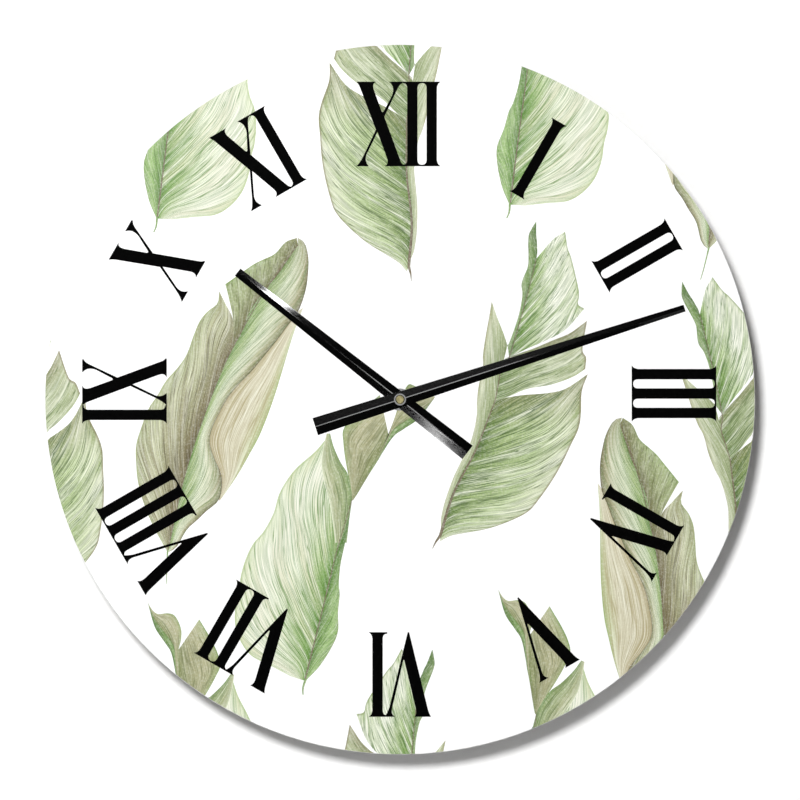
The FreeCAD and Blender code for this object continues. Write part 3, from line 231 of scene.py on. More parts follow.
# ---------------------------------------------------------------- battery
# One AA cell: a steel can in a plain printed sleeve, bare at both ends. The sleeve is dark green
# with a copper band at the positive end, glossy film over a metallic ink.
sleeve_low, sleeve_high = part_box("aa_battery")
battery_sleeve, shader = surface("printed_battery_sleeve", Coat_Weight=0.5, Coat_Roughness=0.12)
place = add(battery_sleeve, "TexCoord").outputs["Object"]
along_cell = add(battery_sleeve, "SeparateXYZ", {"Vector": place})
share = add(battery_sleeve, "MapRange", {"Value": along_cell.outputs["X"],
                                         "From Min": sleeve_low.x, "From Max": sleeve_high.x})
tint = add(battery_sleeve, "ValToRGB", {"Fac": share},
           stops=[(0.0, "b9b7b0"), (0.03, "1f4a31"), (0.7, "b06a3a"), (0.95, "b9b7b0")])
tint.color_ramp.interpolation = "CONSTANT"
bare = add(battery_sleeve, "ValToRGB", {"Fac": share},
           stops=[(0.0, "ffffff"), (0.03, "b0b0b0"), (0.95, "ffffff")])
bare.color_ramp.interpolation = "CONSTANT"
scuffs = add(battery_sleeve, "TexNoise", {"Vector": place, "Scale": per(1.2), "Detail": 4})
sheen = add(battery_sleeve, "MapRange", {"Value": scuffs, "From Min": 0.3,
                                         "From Max": 0.7, "To Min": 0.2, "To Max": 0.34})
feed(battery_sleeve, shader, Base_Color=tint, Metallic=bare, Roughness=sheen)
dress(battery_sleeve, "aa_battery")


# ---------------------------------------------------------------- hanger plate
# The hanger is pressed from zinc plated steel sheet and clamped between the case and the dial.
# Bright zinc is cool grey with soft mottling, and its sheared edges are a little duller.
zinc_steel, shader = surface("zinc_plated_steel", Metallic=1.0)
place = add(zinc_steel, "TexCoord").outputs["Object"]
spangle = add(zinc_steel, "TexVoronoi", {"Vector": place, "Scale": per(3.5), "Randomness": 1.0})
lines = add(zinc_steel, "TexNoise", {"Vector": place, "Scale": per(0.6), "Detail": 4})
tint = add(zinc_steel, "ValToRGB", {"Fac": spangle.outputs["Distance"]},
           stops=[(0.1, "a9adb2"), (0.7, "c3c6c8")])
sheen = add(zinc_steel, "MapRange", {"Value": lines, "From Min": 0.3,
                                     "From Max": 0.7, "To Min": 0.26, "To Max": 0.46})
relief = add(zinc_steel, "Bump", {"Height": lines, "Strength": 0.1, "Distance": 0.00005})
feed(zinc_steel, shader, Base_Color=tint, Roughness=sheen, Normal=relief)
dress(zinc_steel, "hanger_plate")


# ---------------------------------------------------------------- gasket
# A black rubber washer sits between the hanger and the back of the dial. It is cut from moulded
# sheet, matt, with a dusty bloom.
gasket_rubber, shader = surface("black_sheet_rubber", IOR=1.52)
place = add(gasket_rubber, "TexCoord").outputs["Object"]
bloom = add(gasket_rubber, "TexNoise", {"Vector": place, "Scale": per(1.5), "Detail": 5})
tint = add(gasket_rubber, "ValToRGB", {"Fac": bloom}, stops=[(0.35, "1a1a1a"), (0.75, "2b2a29")])
relief = add(gasket_rubber, "Bump", {"Height": bloom, "Strength": 0.2, "Distance": 0.0001})
sheen = add(gasket_rubber, "MapRange", {"Value": bloom, "To Min": 0.7, "To Max": 0.92})
feed(gasket_rubber, shader, Base_Color=tint, Roughness=sheen, Normal=relief)
dress(gasket_rubber, "rubber_gasket")


# ---------------------------------------------------------------- dial board
# The dial is a disc of MDF, sprayed white on the face and edge and sealed grey on the back.
# The face is a satin white with a trace of orange peel; pressed fibre shows through the sealer.
dial_board, shader = surface("white_coated_mdf", IOR=1.5)
coords = add(dial_board, "TexCoord")
place = coords.outputs["Object"]
facing = add(dial_board, "SeparateXYZ", {"Vector": coords.outputs["Normal"]})
back_side = add(dial_board, "Math", {0: facing.outputs["Y"], 1: 0.5}, operation="GREATER_THAN")
peel = add(dial_board, "TexNoise", {"Vector": place, "Scale": per(1.6), "Detail": 2})
chips = add(dial_board, "TexNoise", {"Vector": place, "Scale": per(0.9), "Detail": 6,
                                     "Distortion": 0.8})
blotches = add(dial_board, "TexNoise", {"Vector": place, "Scale": per(14), "Detail": 3})
coat = add(dial_board, "ValToRGB", {"Fac": peel}, stops=[(0.3, "fbfbfa"), (0.7, "fefefe")])
fibre = add(dial_board, "ValToRGB", {"Fac": chips},
            stops=[(0.3, "5b5650"), (0.5, "736d66"), (0.72, "857f77")])
fibre = add(dial_board, "Mix", {0: 0.35, 6: fibre, 7: blotches.outputs["Color"]},
            data_type="RGBA", blend_type="SOFT_LIGHT")
tint = add(dial_board, "Mix", {0: back_side, 6: coat, 7: fibre.outputs[2]}, data_type="RGBA")
gloss = add(dial_board, "MapRange", {"Value": peel, "To Min": 0.3, "To Max": 0.42})
rough = add(dial_board, "MapRange", {"Value": chips, "To Min": 0.75, "To Max": 0.95})
sheen = add(dial_board, "Mix", {0: back_side, 2: gloss, 3: rough})
height = add(dial_board, "Mix", {0: back_side, 2: peel, 3: chips})
relief = add(dial_board, "Bump", {"Height": height.outputs[0], "Strength": 0.12,
                                  "Distance": 0.00012})
feed(dial_board, shader, Base_Color=tint.outputs[2], Roughness=sheen.outputs[0], Normal=relief)
dress(dial_board, "dial_panel")

dial_low, dial_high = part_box("dial_panel")
DIAL_FACE = dial_low.y
DIAL_RADIUS = (dial_high.x - dial_low.x) / 2


# ---------------------------------------------------------------- leaf print
# Watercolour leaves are printed flat on the dial as thin layers of cured ink, in front of one
# another as they overlap. Fine veins run from each midrib to the margin, dark by the midrib,
# cream in the middle of the blade and green again at the edge.
MM = 0.001
INK_LAYER = 0.000012
PRINT_MARGIN = 0.0002
VEIN_ROWS = 64
BLADE_COLUMNS = 18
ALONG = None


def leaf_ink(name, across, vein, veins, gaps, stripe, stripes, margin, pitch=0.55, shade=None):
    """Cured ink. across is the colours from midrib to margin; veins, gaps and stripes are how
    strong the dark veins, the pale gaps between them and the broad washes are. shade is a
    colour that comes in between two shares of the blade's length, and how strong it gets."""
    ink, shader = surface(name, IOR=1.5, Roughness=0.42, Specular_IOR_Level=0.15)
    lines = add(ink, "UVMap", uv_map="veins")
    over = add(ink, "SeparateXYZ", {"Vector": add(ink, "UVMap", uv_map="blade")})
    bands = {}
    for band, size, stretch, seed in (("fine", pitch, 3.5, 1), ("main", pitch * 5, 0.8, 4),
                                      ("loose", pitch * 6, 1.6, 7), ("wash", pitch * 14, 1.3, 2)):
        drawn = add(ink, "Mapping", {"Vector": lines, "Scale": (per(size), stretch, 1),
                                     "Location": (seed, seed * 1.7, seed * 3.1)})
        bands[band] = add(ink, "TexNoise", {"Vector": drawn, "Scale": 1.0,
                                            "Detail": 3, "Roughness": 0.6})
    bleed = add(ink, "MapRange", {"Value": bands["wash"], "To Min": -0.16, "To Max": 0.16})
    shifted = add(ink, "Math", {0: over.outputs["Y"], 1: bleed}, operation="ADD")
    tone = add(ink, "ValToRGB", {"Fac": shifted}, stops=across)
    broad = add(ink, "MapRange", {"Value": bands["wash"], "From Min": 0.46,
                                  "From Max": 0.62, "To Max": stripes})
    tone = add(ink, "Mix", {0: broad, 6: tone, 7: linear(stripe)}, data_type="RGBA")
    if shade:
        colour, begin, full, amount = shade
        patch = add(ink, "MapRange", {"Value": over.outputs["X"], "From Min": begin,
                                      "From Max": full, "To Max": amount})
        tone = add(ink, "Mix", {0: patch, 6: tone.outputs[2], 7: linear(colour)}, data_type="RGBA")
    pale = add(ink, "MapRange", {"Value": bands["loose"], "From Min": 0.48,
                                 "From Max": 0.68, "To Max": gaps})
    tone = add(ink, "Mix", {0: pale, 6: tone.outputs[2], 7: linear("f6f7ea")}, data_type="RGBA")
    # The grain of the paper that the leaf was painted on.
    paper = add(ink, "TexNoise", {"Vector": add(ink, "TexCoord").outputs["Object"],
                                  "Scale": per(1.2), "Detail": 3})
    grain = add(ink, "MapRange", {"Value": paper, "From Min": 0.45,
                                  "From Max": 0.75, "To Max": 0.3})
    tone = add(ink, "Mix", {0: grain, 6: tone.outputs[2], 7: linear("f3f3e4")}, data_type="RGBA")
    dark = add(ink, "MapRange", {"Value": bands["fine"], "From Min": 0.47,
                                 "From Max": 0.58, "To Max": veins})
    fade = add(ink, "MapRange", {"Value": over.outputs["Y"], "From Min": 0.2, "From Max": 1.0,
                                 "To Min": 1.0, "To Max": 0.25})
    dark = add(ink, "Math", {0: dark, 1: fade}, operation="MULTIPLY")
    tone = add(ink, "Mix", {0: dark, 6: tone.outputs[2], 7: linear(vein)}, data_type="RGBA")
    middle = add(ink, "Math", {0: bands["main"], 1: 0.5}, operation="SUBTRACT")
    middle = add(ink, "Math", {0: middle}, operation="ABSOLUTE")
    thread = add(ink, "MapRange", {"Value": middle, "From Min": 0.004,
                                   "From Max": 0.022, "To Min": veins, "To Max": 0.0})
    tone = add(ink, "Mix", {0: thread, 6: tone.outputs[2], 7: linear(vein)}, data_type="RGBA")
    edge = add(ink, "MapRange", {"Value": over.outputs["Y"], "From Min": 0.97,
                                 "From Max": 0.985, "To Max": 0.6})
    tone = add(ink, "Mix", {0: edge, 6: tone.outputs[2], 7: linear(margin)}, data_type="RGBA")
    feed(ink, shader, Base_Color=tone.outputs[2])
    return ink


def along(points, count):
    """count + 1 evenly spaced points on a smooth curve through the given ones."""
    given = np.array(points, float)
    ends = np.vstack([2 * given[0] - given[1], given, 2 * given[-1] - given[-2]])
    t = np.linspace(0, 1, 12, endpoint=False)[:, None]
    curve = [
        0.5 * (2 * b + (c - a) * t + (2 * a - 5 * b + 4 * c - d) * t**2
               + (3 * b - a - 3 * c + d) * t**3)
        for a, b, c, d in zip(ends, ends[1:], ends[2:], ends[3:])
    ]
    curve = np.vstack(curve + [given[-1:]])
    run = np.r_[0, np.cumsum(np.linalg.norm(np.diff(curve, axis=0), axis=1))]
    wanted = np.linspace(0, run[-1], count + 1)
    return np.stack([np.interp(wanted, run, curve[:, k]) for k in (0, 1)], 1), run[-1]


def blade(spine, margin, first=None, last=None):
    """The grid of a blade between its midrib and its margin, its length and its width."""
    s, length = along(spine, VEIN_ROWS)
    m, _ = along(margin, VEIN_ROWS)
    f, _ = along(first or [spine[0], margin[0]], BLADE_COLUMNS)
    g, _ = along(last or [spine[-1], margin[-1]], BLADE_COLUMNS)
    u = np.linspace(0, 1, VEIN_ROWS + 1)[:, None, None]
    v = np.linspace(0, 1, BLADE_COLUMNS + 1)[None, :, None]
    corners = ((1 - u) * (1 - v) * s[0] + (1 - u) * v * m[0] + u * (1 - v) * s[-1]
               + u * v * m[-1])
    grid = (1 - v) * s[:, None] + v * m[:, None] + (1 - u) * f[None] + u * g[None] - corners
    return grid, length, np.linalg.norm(m - s, axis=1).max()


def put(name, data):
    """Puts a mesh, a lamp or a camera into the scene."""
    placed = bpy.data.objects.new(name, data)
    bpy.context.scene.collection.objects.link(placed)
    return placed


def sheet(name, points, faces, *finishes):
    """A new object from points and faces, with its finishes."""
    mesh = bpy.data.meshes.new(name)
    mesh.from_pydata(points, [], faces)
    for finish in finishes:
        mesh.materials.append(finish)
    return put(name, mesh)


def print_leaf(name, blades, mirrored=False, turn=0.0, start=(0, 0), end=(0, 0)):
    """Lays one leaf on the dial: its blades are mirrored, turned in degrees and moved so that
    start comes to end, all in millimetres from the dial's centre. The dial's edge cuts it."""
    angle = math.radians(turn)
    spin = np.array([[math.cos(angle), math.sin(angle)], [-math.sin(angle), math.cos(angle)]])
    points, faces, spots, inks = [], [], [], []
    for layer, (ink, lean, *edges) in enumerate(blades):
        grid, length, width = blade(*edges)
        flat = (grid.reshape(-1, 2) - start) * ([-1, 1] if mirrored else [1, 1])
        flat = (flat @ spin + end) * MM
        radius = np.linalg.norm(flat, axis=1)
        limit = DIAL_RADIUS - PRINT_MARGIN
        flat *= np.minimum(1, limit / np.maximum(radius, 1e-9))[:, None]
        u, v = np.mgrid[0 : VEIN_ROWS + 1, 0 : BLADE_COLUMNS + 1]
        u = (u / VEIN_ROWS).ravel()
        v = (v / BLADE_COLUMNS).ravel()
        if lean is ALONG:
            across, down = v * width * MM, u
        else:
            across, down = (u - lean[0] * v ** lean[1]) * length * MM, v
        first = len(points)
        count = len(flat)
        front = DIAL_FACE - INK_LAYER * (layer + 1)
        points += [(x, front, z) for x, z in flat] + [(x, DIAL_FACE, z) for x, z in flat]
        edge_use = set()
        for i in range(VEIN_ROWS):
            for j in range(BLADE_COLUMNS):
                a = i * (BLADE_COLUMNS + 1) + j
                ring = [a, a + 1, a + BLADE_COLUMNS + 2, a + BLADE_COLUMNS + 1]
                if all(radius[k] > limit for k in ring):
                    continue
                p, q, r = flat[ring[0]], flat[ring[1]], flat[ring[2]]
                if (q[0] - p[0]) * (r[1] - p[1]) - (q[1] - p[1]) * (r[0] - p[0]) < 0:
                    ring.reverse()
                faces.append([first + k for k in ring])
                faces.append([first + count + k for k in reversed(ring)])
                inks += [ink, ink]
                edge_use.update(zip(ring, ring[1:] + ring[:1]))
        for one, two in sorted(edge_use):
            if (two, one) not in edge_use:
                faces.append([first + two, first + one, first + count + one,
                              first + count + two])
                inks.append(ink)
        spots += list(zip(across, down, u, v)) * 2
    palette = sorted(set(inks), key=lambda ink: ink.name)
    leaf = sheet(name, points, faces, *palette)
    leaf.data.polygons.foreach_set("material_index", [palette.index(ink) for ink in inks])
    for layer, column in (("veins", 0), ("blade", 2)):
        drawn_on = leaf.data.uv_layers.new(name=layer)
        for loop in leaf.data.loops:
            drawn_on.data[loop.index].uv = spots[loop.vertex_index][column : column + 2]
    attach(leaf, "clock_body")


def rib(points, start_width, end_width):
    """The two edges of a midrib or stem that tapers along its line, in millimetres."""
    line, _ = along(points, 10)
    slope = np.gradient(line, axis=0)
    side = np.stack([-slope[:, 1], slope[:, 0]], 1) / np.linalg.norm(slope, axis=1)[:, None]
    width = np.linspace(start_width, end_width, len(line))[:, None] / 2
    return (line + side * width).tolist(), (line - side * width).tolist()


# Brown ink for midribs and stem ends, and a green one for the thin stalks.
rib_ink = leaf_ink("brown_rib_ink", [(0.0, "6b5f4c"), (1.0, "7d6f5a")], "564a3c", 0.4, 0.1,
                   "6f7a4f", 0.3, "5f5342")
stalk_ink = leaf_ink("green_stalk_ink", [(0.0, "6f9350"), (1.0, "93ad74")], "55753c", 0.4, 0.1,
                     "7f9a60", 0.3, "64834a")

# ---- The lobed leaf. One midrib carries three lobes on its right, parted by splits, and a
# narrow folded lobe on its left that is paler, with a dark pointed tip above.
olive_ink = leaf_ink("olive_green_leaf_ink",
                     [(0.0, "526c34"), (0.06, "76904f"), (0.25, "a2b67c"), (0.6, "c6d5a8"),
                      (0.85, "d8dfc0"), (1.0, "a6b184")],
                     "486230", 0.85, 0.6, "8ba463", 0.6, "7d7358",
                     shade=("7f7855", 0.8, 1.0, 0.6))
clear_ink = leaf_ink("clear_green_leaf_ink",
                     [(0.0, "527632"), (0.1, "88a95e"), (0.28, "c8d8aa"), (0.55, "f3f5e8"),
                      (0.88, "e4e8d4"), (1.0, "b3c393")],
                     "4a7028", 0.9, 0.8, "a9c084", 0.6, "7f9160")
split_ink = leaf_ink("split_lobe_leaf_ink",
                     [(0.0, "78905a"), (0.2, "a5b485"), (0.6, "c4ccad"), (1.0, "b0b890")],
                     "5c7240", 0.85, 0.5, "98aa76", 0.6, "7d7358",
                     shade=("827a58", 0.6, 1.0, 0.8))
fold_ink = leaf_ink("folded_lobe_leaf_ink",
                    [(0.0, "7f9060"), (0.35, "b4bf99"), (0.8, "d0d5b9"), (1.0, "a4a57f")],
                    "72834f", 0.8, 0.5, "a9b088", 0.5, "877d60")
tip_ink = leaf_ink("deep_green_leaf_ink",
                   [(0.0, "507038"), (0.4, "809c60"), (0.8, "98b079"), (1.0, "6a8849")],
                   "44632c", 0.8, 0.3, "6d8c4f", 0.6, "50703a",
                   shade=("4b6c34", 0.7, 1.0, 0.7))
lobed_rib = [(23, -78), (26.5, -68), (30.5, -54), (36, -41), (43.5, -28.5), (48.5, -15),
             (54.5, -0.5)]
lobed_leaf = [
    (olive_ink, (0.35, 1.0), lobed_rib,
     [(23, -81), (29, -78), (36.5, -76.5), (50, -74), (63, -69.5), (73.5, -64), (80, -56.5),
      (87, -46.5), (92.5, -37), (98, -25.5), (102, -17), (103.5, -8.5), (104, 4.5),
      (107.5, 14.5)],
     [(23, -78), (23, -81)],
     [(54.5, -0.5), (58, 0.5), (70, 2.5), (83, 3.5), (94.5, 6), (107.5, 14.5)]),
    (split_ink, (0.2, 1.0), [(54.5, -0.5), (59, 21), (62.5, 24)],
     [(106, 17.5), (106.5, 24), (104.5, 29), (107, 45)],
     [(54.5, -0.5), (62, 1.5), (72.5, 6), (86.5, 8.5), (99, 13), (106, 17.5)],
     [(62.5, 24), (68.5, 26.5), (76, 29), (86.5, 33.5), (96.5, 37.5), (103, 42), (107, 45)]),
    (clear_ink, (0.35, 1.0), [(62.5, 24), (67.5, 40), (72.5, 58.5), (78, 80.5)],
     [(105.5, 52), (102, 54.5), (102.5, 60), (101.5, 66.5), (98, 81), (96, 86.5), (94.5, 96)],
     [(62.5, 24), (72.5, 29), (83, 33.5), (93.5, 39), (100, 45.5), (105.5, 52)],
     [(78, 80.5), (83, 86.5), (88, 92), (94.5, 96)]),
    (fold_ink, (0.25, 1.0), lobed_rib + [(56, 8.5), (59, 21), (61.5, 31)],
     [(23.5, -74), (23.5, -68), (26, -57.5), (30.5, -45), (35, -35.5), (40, -25.5),
      (42.5, -17), (44, -8.5), (44, -2), (45, 7.5), (47.5, 18.5), (47.5, 25.5), (49, 36),
      (51, 47), (52.5, 56)],
     [(23, -78), (23.5, -74)], [(61.5, 31), (59, 38.5), (56, 46), (52.5, 56)]),
    (tip_ink, (0.2, 1.0), [(62.5, 24), (67.5, 40), (72.5, 58.5), (78, 80), (78.5, 88),
                           (78, 94.5), (78, 102)],
     [(61.5, 31), (62.5, 32.5), (66, 42), (68.5, 50.5), (70, 60), (69.5, 65.5), (70.5, 69.5),
      (73, 75.5), (73.5, 81), (73.5, 93), (75.5, 98), (78, 102)],
     [(62.5, 24), (61.5, 31)]),
    (rib_ink, ALONG, *rib([(23, -78), (30.5, -54), (43.5, -28.5), (54.5, -0.5)], 1.7, 0.6)),
    (rib_ink, ALONG, *rib([(18.5, -85.5), (20.5, -81.5), (23, -78)], 0.2, 1.7)),
    (rib_ink, ALONG, *rib([(54.5, -0.5), (59, 21), (62.5, 24), (72.5, 58.5), (78, 80.5)],
                          0.6, 0.4)),
]
print_leaf("lobed_leaf_right_of_centre", lobed_leaf)
print_leaf("lobed_leaf_right_edge", lobed_leaf, False, 28.0, (78, 102), (161.5, 67.5))
print_leaf("lobed_leaf_left_edge", lobed_leaf, False, 28.0, (78, 102), (-247.5, 65))
print_leaf("lobed_leaf_top", lobed_leaf, True, -21.2, (18.5, -85.5), (6.5, 67.5))
print_leaf("lobed_leaf_bottom", lobed_leaf, True, -20.7, (78, 102), (18.5, -143))

# ---- The broad leaf. A wide cream blade lies to the left of its rib and a narrow green one to
# the right, folded over near the top; two taupe lobes show its underside at the tip.
cream_ink = leaf_ink("cream_green_leaf_ink",
                     [(0.0, "567d36"), (0.08, "80a45c"), (0.2, "b3c793"), (0.42, "dee6cb"),
                      (0.75, "eeefe0"), (1.0, "cfdab5")],
                     "55822f", 0.85, 0.6, "d3cfb2", 0.5, "a9bb88")
side_ink = leaf_ink("side_green_leaf_ink",
                    [(0.0, "4c7630"), (0.25, "82a85a"), (0.7, "a9c884"), (1.0, "86a960")],
                    "456a2c", 0.8, 0.3, "789a59", 0.5, "77775a",
                    shade=("4a7330", 0.5, 0.8, 0.8))
turn_ink = leaf_ink("turned_edge_leaf_ink",
                    [(0.0, "75955a"), (0.3, "9fae7e"), (0.7, "b2b690"), (1.0, "d5dcbd")],
                    "687b4c", 0.8, 0.25, "8f9f6b", 0.6, "f4f6e8")
taupe_ink = leaf_ink("taupe_leaf_ink",
                     [(0.0, "6f8a4c"), (0.1, "8f9468"), (0.4, "a9a883"), (0.75, "b9b795"),
                      (1.0, "9aa875")],
                     "6d7349", 0.75, 0.15, "8e9a68", 0.5, "5f8a3f", 0.7)
broad_rib = [(-54.5, -161), (-49, -139.5), (-44.5, -121), (-40, -103.5), (-36.5, -88),
             (-30, -69.5), (-27.5, -57.5)]
broad_blades = [
    (cream_ink, (0.52, 1.0), broad_rib,
     [(-62.5, -158.5), (-74, -152.5), (-85, -147), (-91.5, -139), (-95, -129), (-95, -118),
      (-93, -109), (-92, -100), (-89, -90), (-85, -82), (-79.5, -75.5), (-74, -65),
      (-70.5, -53), (-62.5, -40.5), (-50.5, -29.5), (-42.5, -19.5)],
     None, [(-27.5, -57.5), (-27.5, -52), (-30, -42.5), (-34, -36), (-38, -27), (-40, -19.5)]),
    (turn_ink, ALONG,
     [(-30.5, -82), (-29, -68.5), (-27.5, -57.5), (-27.5, -52), (-30, -42.5), (-34, -36),
      (-38, -27), (-40, -19.5)],
     [(-37, -82), (-38.5, -70), (-40, -60), (-43, -49), (-45, -38), (-44, -28),
      (-42, -19.5)]),
    (side_ink, (0.35, 0.9), broad_rib,
     [(-53.5, -160.5), (-46, -152.5), (-39, -141.5), (-35.5, -132.5), (-35.5, -122),
      (-34.5, -111.5), (-35, -105.5), (-34, -94), (-31, -80), (-29, -68.5)]),
    (taupe_ink, ALONG, [(-27.5, -57.5), (-26, -56.5), (-17.5, -42.5), (-11, -32),
                        (-6.5, -20.5)],
     [(-27.5, -54), (-31, -36), (-32.5, -24), (-32.5, -17.5), (-28.5, -11.5), (-22, -5.5),
      (-15.5, -0.5), (-11.5, 2.5)]),
    (rib_ink, ALONG, *rib([(-54.5, -161), (-44.5, -121), (-36.5, -88), (-27.5, -57.5)],
                          0.8, 0.4)),
    (stalk_ink, ALONG, *rib([(-55.5, -169), (-55.5, -165), (-54, -160)], 0.6, 1.4)),
]
tip_fold = [(-17.5, -42.5), (-11, -32), (-4, -21.5), (2, -17), (10.5, -11), (19.5, 0.5)]
flat_tip = [(taupe_ink, ALONG, tip_fold, [(-6.5, -20.5), (3, 6), (9, 7.5), (20, 1.5)])]
dipped_tip = [(taupe_ink, ALONG, tip_fold,
               [(-17.5, -42.5), (-8, -20.5), (-6, -11.5), (-3.5, -6), (2, -1), (6.5, -1),
                (11.5, -3.5), (15.5, -2.5), (19.5, 0.5)])]
turned_strip = [(tip_ink, ALONG, tip_fold,
                 [(-17.5, -42.5), (-10, -29), (-4, -17.5), (3, -12.5), (11.5, -7.5),
                  (19.5, 0.5)])]
print_leaf("broad_leaf_lower_left", broad_blades + flat_tip + turned_strip)
print_leaf("broad_leaf_upper_left", broad_blades, True, -21.2, (-54.5, -161), (-139, 103.5))
print_leaf("broad_leaf_upper_right", broad_blades, True, -21.2, (-54.5, -161), (63, 111.5))
print_leaf("broad_leaf_lower_right", broad_blades + dipped_tip + turned_strip, True, -22.0,
           (20, 1.5), (56, -107.5))
print_leaf("broad_leaf_bottom_left", broad_blades + dipped_tip + turned_strip, True, -22.0,
           (20, 1.5), (-144.5, -115))

# ---- The tall leaf. Its left half is brown by the fold and green outside, its right half is
# lit, cream in the middle and rolled over at the edge, and a pale blade stands behind.
shade_ink = leaf_ink("brown_green_leaf_ink",
                     [(0.0, "655a3f"), (0.1, "837a58"), (0.35, "a8a983"), (0.7, "cfd3b0"),
                      (1.0, "aab58a")],
                     "565033", 0.9, 0.4, "8f8763", 0.6, "9aa676")
bright_ink = leaf_ink("bright_leaf_ink",
                      [(0.0, "557a38"), (0.05, "75984f"), (0.18, "adc283"), (0.4, "e2e8cf"),
                       (0.66, "dedec6"), (0.8, "b3ae8d"), (0.93, "7d7556"), (1.0, "584e36")],
                      "507634", 0.85, 0.4, "bcc49c", 0.4, "544a34",
                      shade=("948f6b", 0.86, 1.0, 0.65))
pale_ink = leaf_ink("pale_leaf_ink",
                    [(0.0, "a89c7c"), (0.15, "cbc5aa"), (0.7, "d9d7c0"), (0.9, "c0c99f"),
                     (1.0, "98ad70")],
                    "a3976f", 0.75, 0.6, "c2bd9c", 0.5, "8fa768", 0.7)
back_ink = leaf_ink("olive_tip_leaf_ink",
                    [(0.0, "675b40"), (0.12, "807d56"), (0.45, "9ea67a"), (0.85, "abb988"),
                     (1.0, "8aa263")],
                    "585c37", 0.8, 0.25, "818d5b", 0.6, "7a9455",
                    shade=("736d49", 0.5, 0.9, 0.6))
tall_rib = [(-133, -87.5), (-129, -69.5), (-125.5, -54), (-122.5, -41), (-118, -25),
            (-113, -11.5), (-107.5, 3), (-102, 17.5), (-96, 29)]
tall_tip = [(-96, 29), (-90.5, 38.5), (-85.5, 51), (-76.5, 63.5), (-69.5, 72), (-58.5, 88.5)]
tall_roll = [(-104, -58), (-102, -50.5), (-102.5, -42.5), (-106.5, -33), (-109, -24.5),
             (-107.5, -16.5), (-104, -9), (-98.5, 1), (-92, 9), (-86, 15), (-78.5, 24),
             (-70, 34.5), (-64.5, 42)]
tall_leaf = [
    (pale_ink, ALONG, [(-102, -56.5)] + tall_roll + [(-58.5, 50), (-55.5, 52.5)],
     [(-102, -56.5), (-93.5, -44), (-86, -31), (-79.5, -18.5), (-71.5, 3), (-62, 34.5),
      (-55.5, 52.5)]),
    (shade_ink, (0.5, 0.95), tall_rib,
     [(-133, -87.5), (-141.5, -72), (-147, -58.5), (-150, -47), (-151, -37), (-151, -26),
      (-147, -13), (-143.5, -4.5), (-139, 2), (-134, 10.5), (-127, 18.5), (-122, 26),
      (-118, 37), (-114.5, 45), (-110, 50.5), (-104.5, 55), (-103.5, 62)],
     None, [(-96, 29), (-95.5, 45), (-99.5, 54), (-103.5, 62)]),
    (back_ink, (0.1, 1.0), tall_tip,
     [(-100, 66), (-90, 73), (-83.5, 77.5), (-78.5, 80), (-71.5, 83.5), (-65.5, 90),
      (-59, 92.5)],
     [(-96, 29), (-95.5, 45), (-98, 58), (-100, 66)]),
    (bright_ink, (0.4, 0.85), tall_rib + tall_tip[1:],
     [(-133, -87.5), (-128, -84.5), (-122, -74.5), (-115.5, -68.5), (-111, -64)] + tall_roll
     + [(-58.5, 50), (-54, 62.5), (-52.5, 74), (-52.5, 81.5), (-54.5, 89.5), (-58.5, 92.5)]),
    (rib_ink, ALONG, *rib([(-133, -87.5), (-122.5, -41), (-107.5, 3), (-96, 29),
                           (-76.5, 63.5), (-58.5, 88.5)], 0.5, 0.6)),
    (stalk_ink, ALONG, *rib([(-133.5, -105.5), (-133.5, -98), (-133, -86)], 0.4, 0.9)),
]
print_leaf("tall_leaf_left", tall_leaf)
print_leaf("tall_leaf_right", tall_leaf, True, -16.0, (-59, 92.5), (127.5, -10.5))
print_leaf("tall_leaf_upper_right", tall_leaf, True, -16.0, (-133, -87.5), (176.5, 86))


# ---------------------------------------------------------------- numerals
# The twelve numerals are printed over the leaves in dense black ink, their tops towards the
# dial's edge. They are tall and narrow, with bracketed serifs that run together.
numeral_ink, shader = surface("black_numeral_ink", IOR=1.5, Specular_IOR_Level=0.01)
place = add(numeral_ink, "TexCoord").outputs["Object"]
lay_down = add(numeral_ink, "TexNoise", {"Vector": place, "Scale": per(2), "Detail": 3})
tint = add(numeral_ink, "ValToRGB", {"Fac": lay_down}, stops=[(0.3, "000000"), (0.7, "040404")])
sheen = add(numeral_ink, "MapRange", {"Value": lay_down, "To Min": 0.45, "To Max": 0.6})
feed(numeral_ink, shader, Base_Color=tint, Roughness=sheen)

NUMERAL_HEIGHT = 48.4
STEM_WIDTH = 5.9
BRACKET = 3.7
SERIF_LINE = 0.85
SERIF_TIP = 0.25
FREE_REACH = 1.9
FREE_PULL = 0.4
FREE_LEVEL = 0.9
JOINED_REACH = 2.6


def outline(moves):
    """A closed outline in millimetres. A pair is a corner; two pairs are a curve's pull and end."""
    points = [moves[0]]
    for move in moves[1:]:
        if len(move) == 2:
            points.append(move)
            continue
        (x0, y0), (x1, y1, x2, y2) = points[-1], move
        for t in np.linspace(0, 1, 9)[1:]:
            points.append(((1 - t) ** 2 * x0 + 2 * t * (1 - t) * x1 + t * t * x2,
                           (1 - t) ** 2 * y0 + 2 * t * (1 - t) * y1 + t * t * y2))
    return points


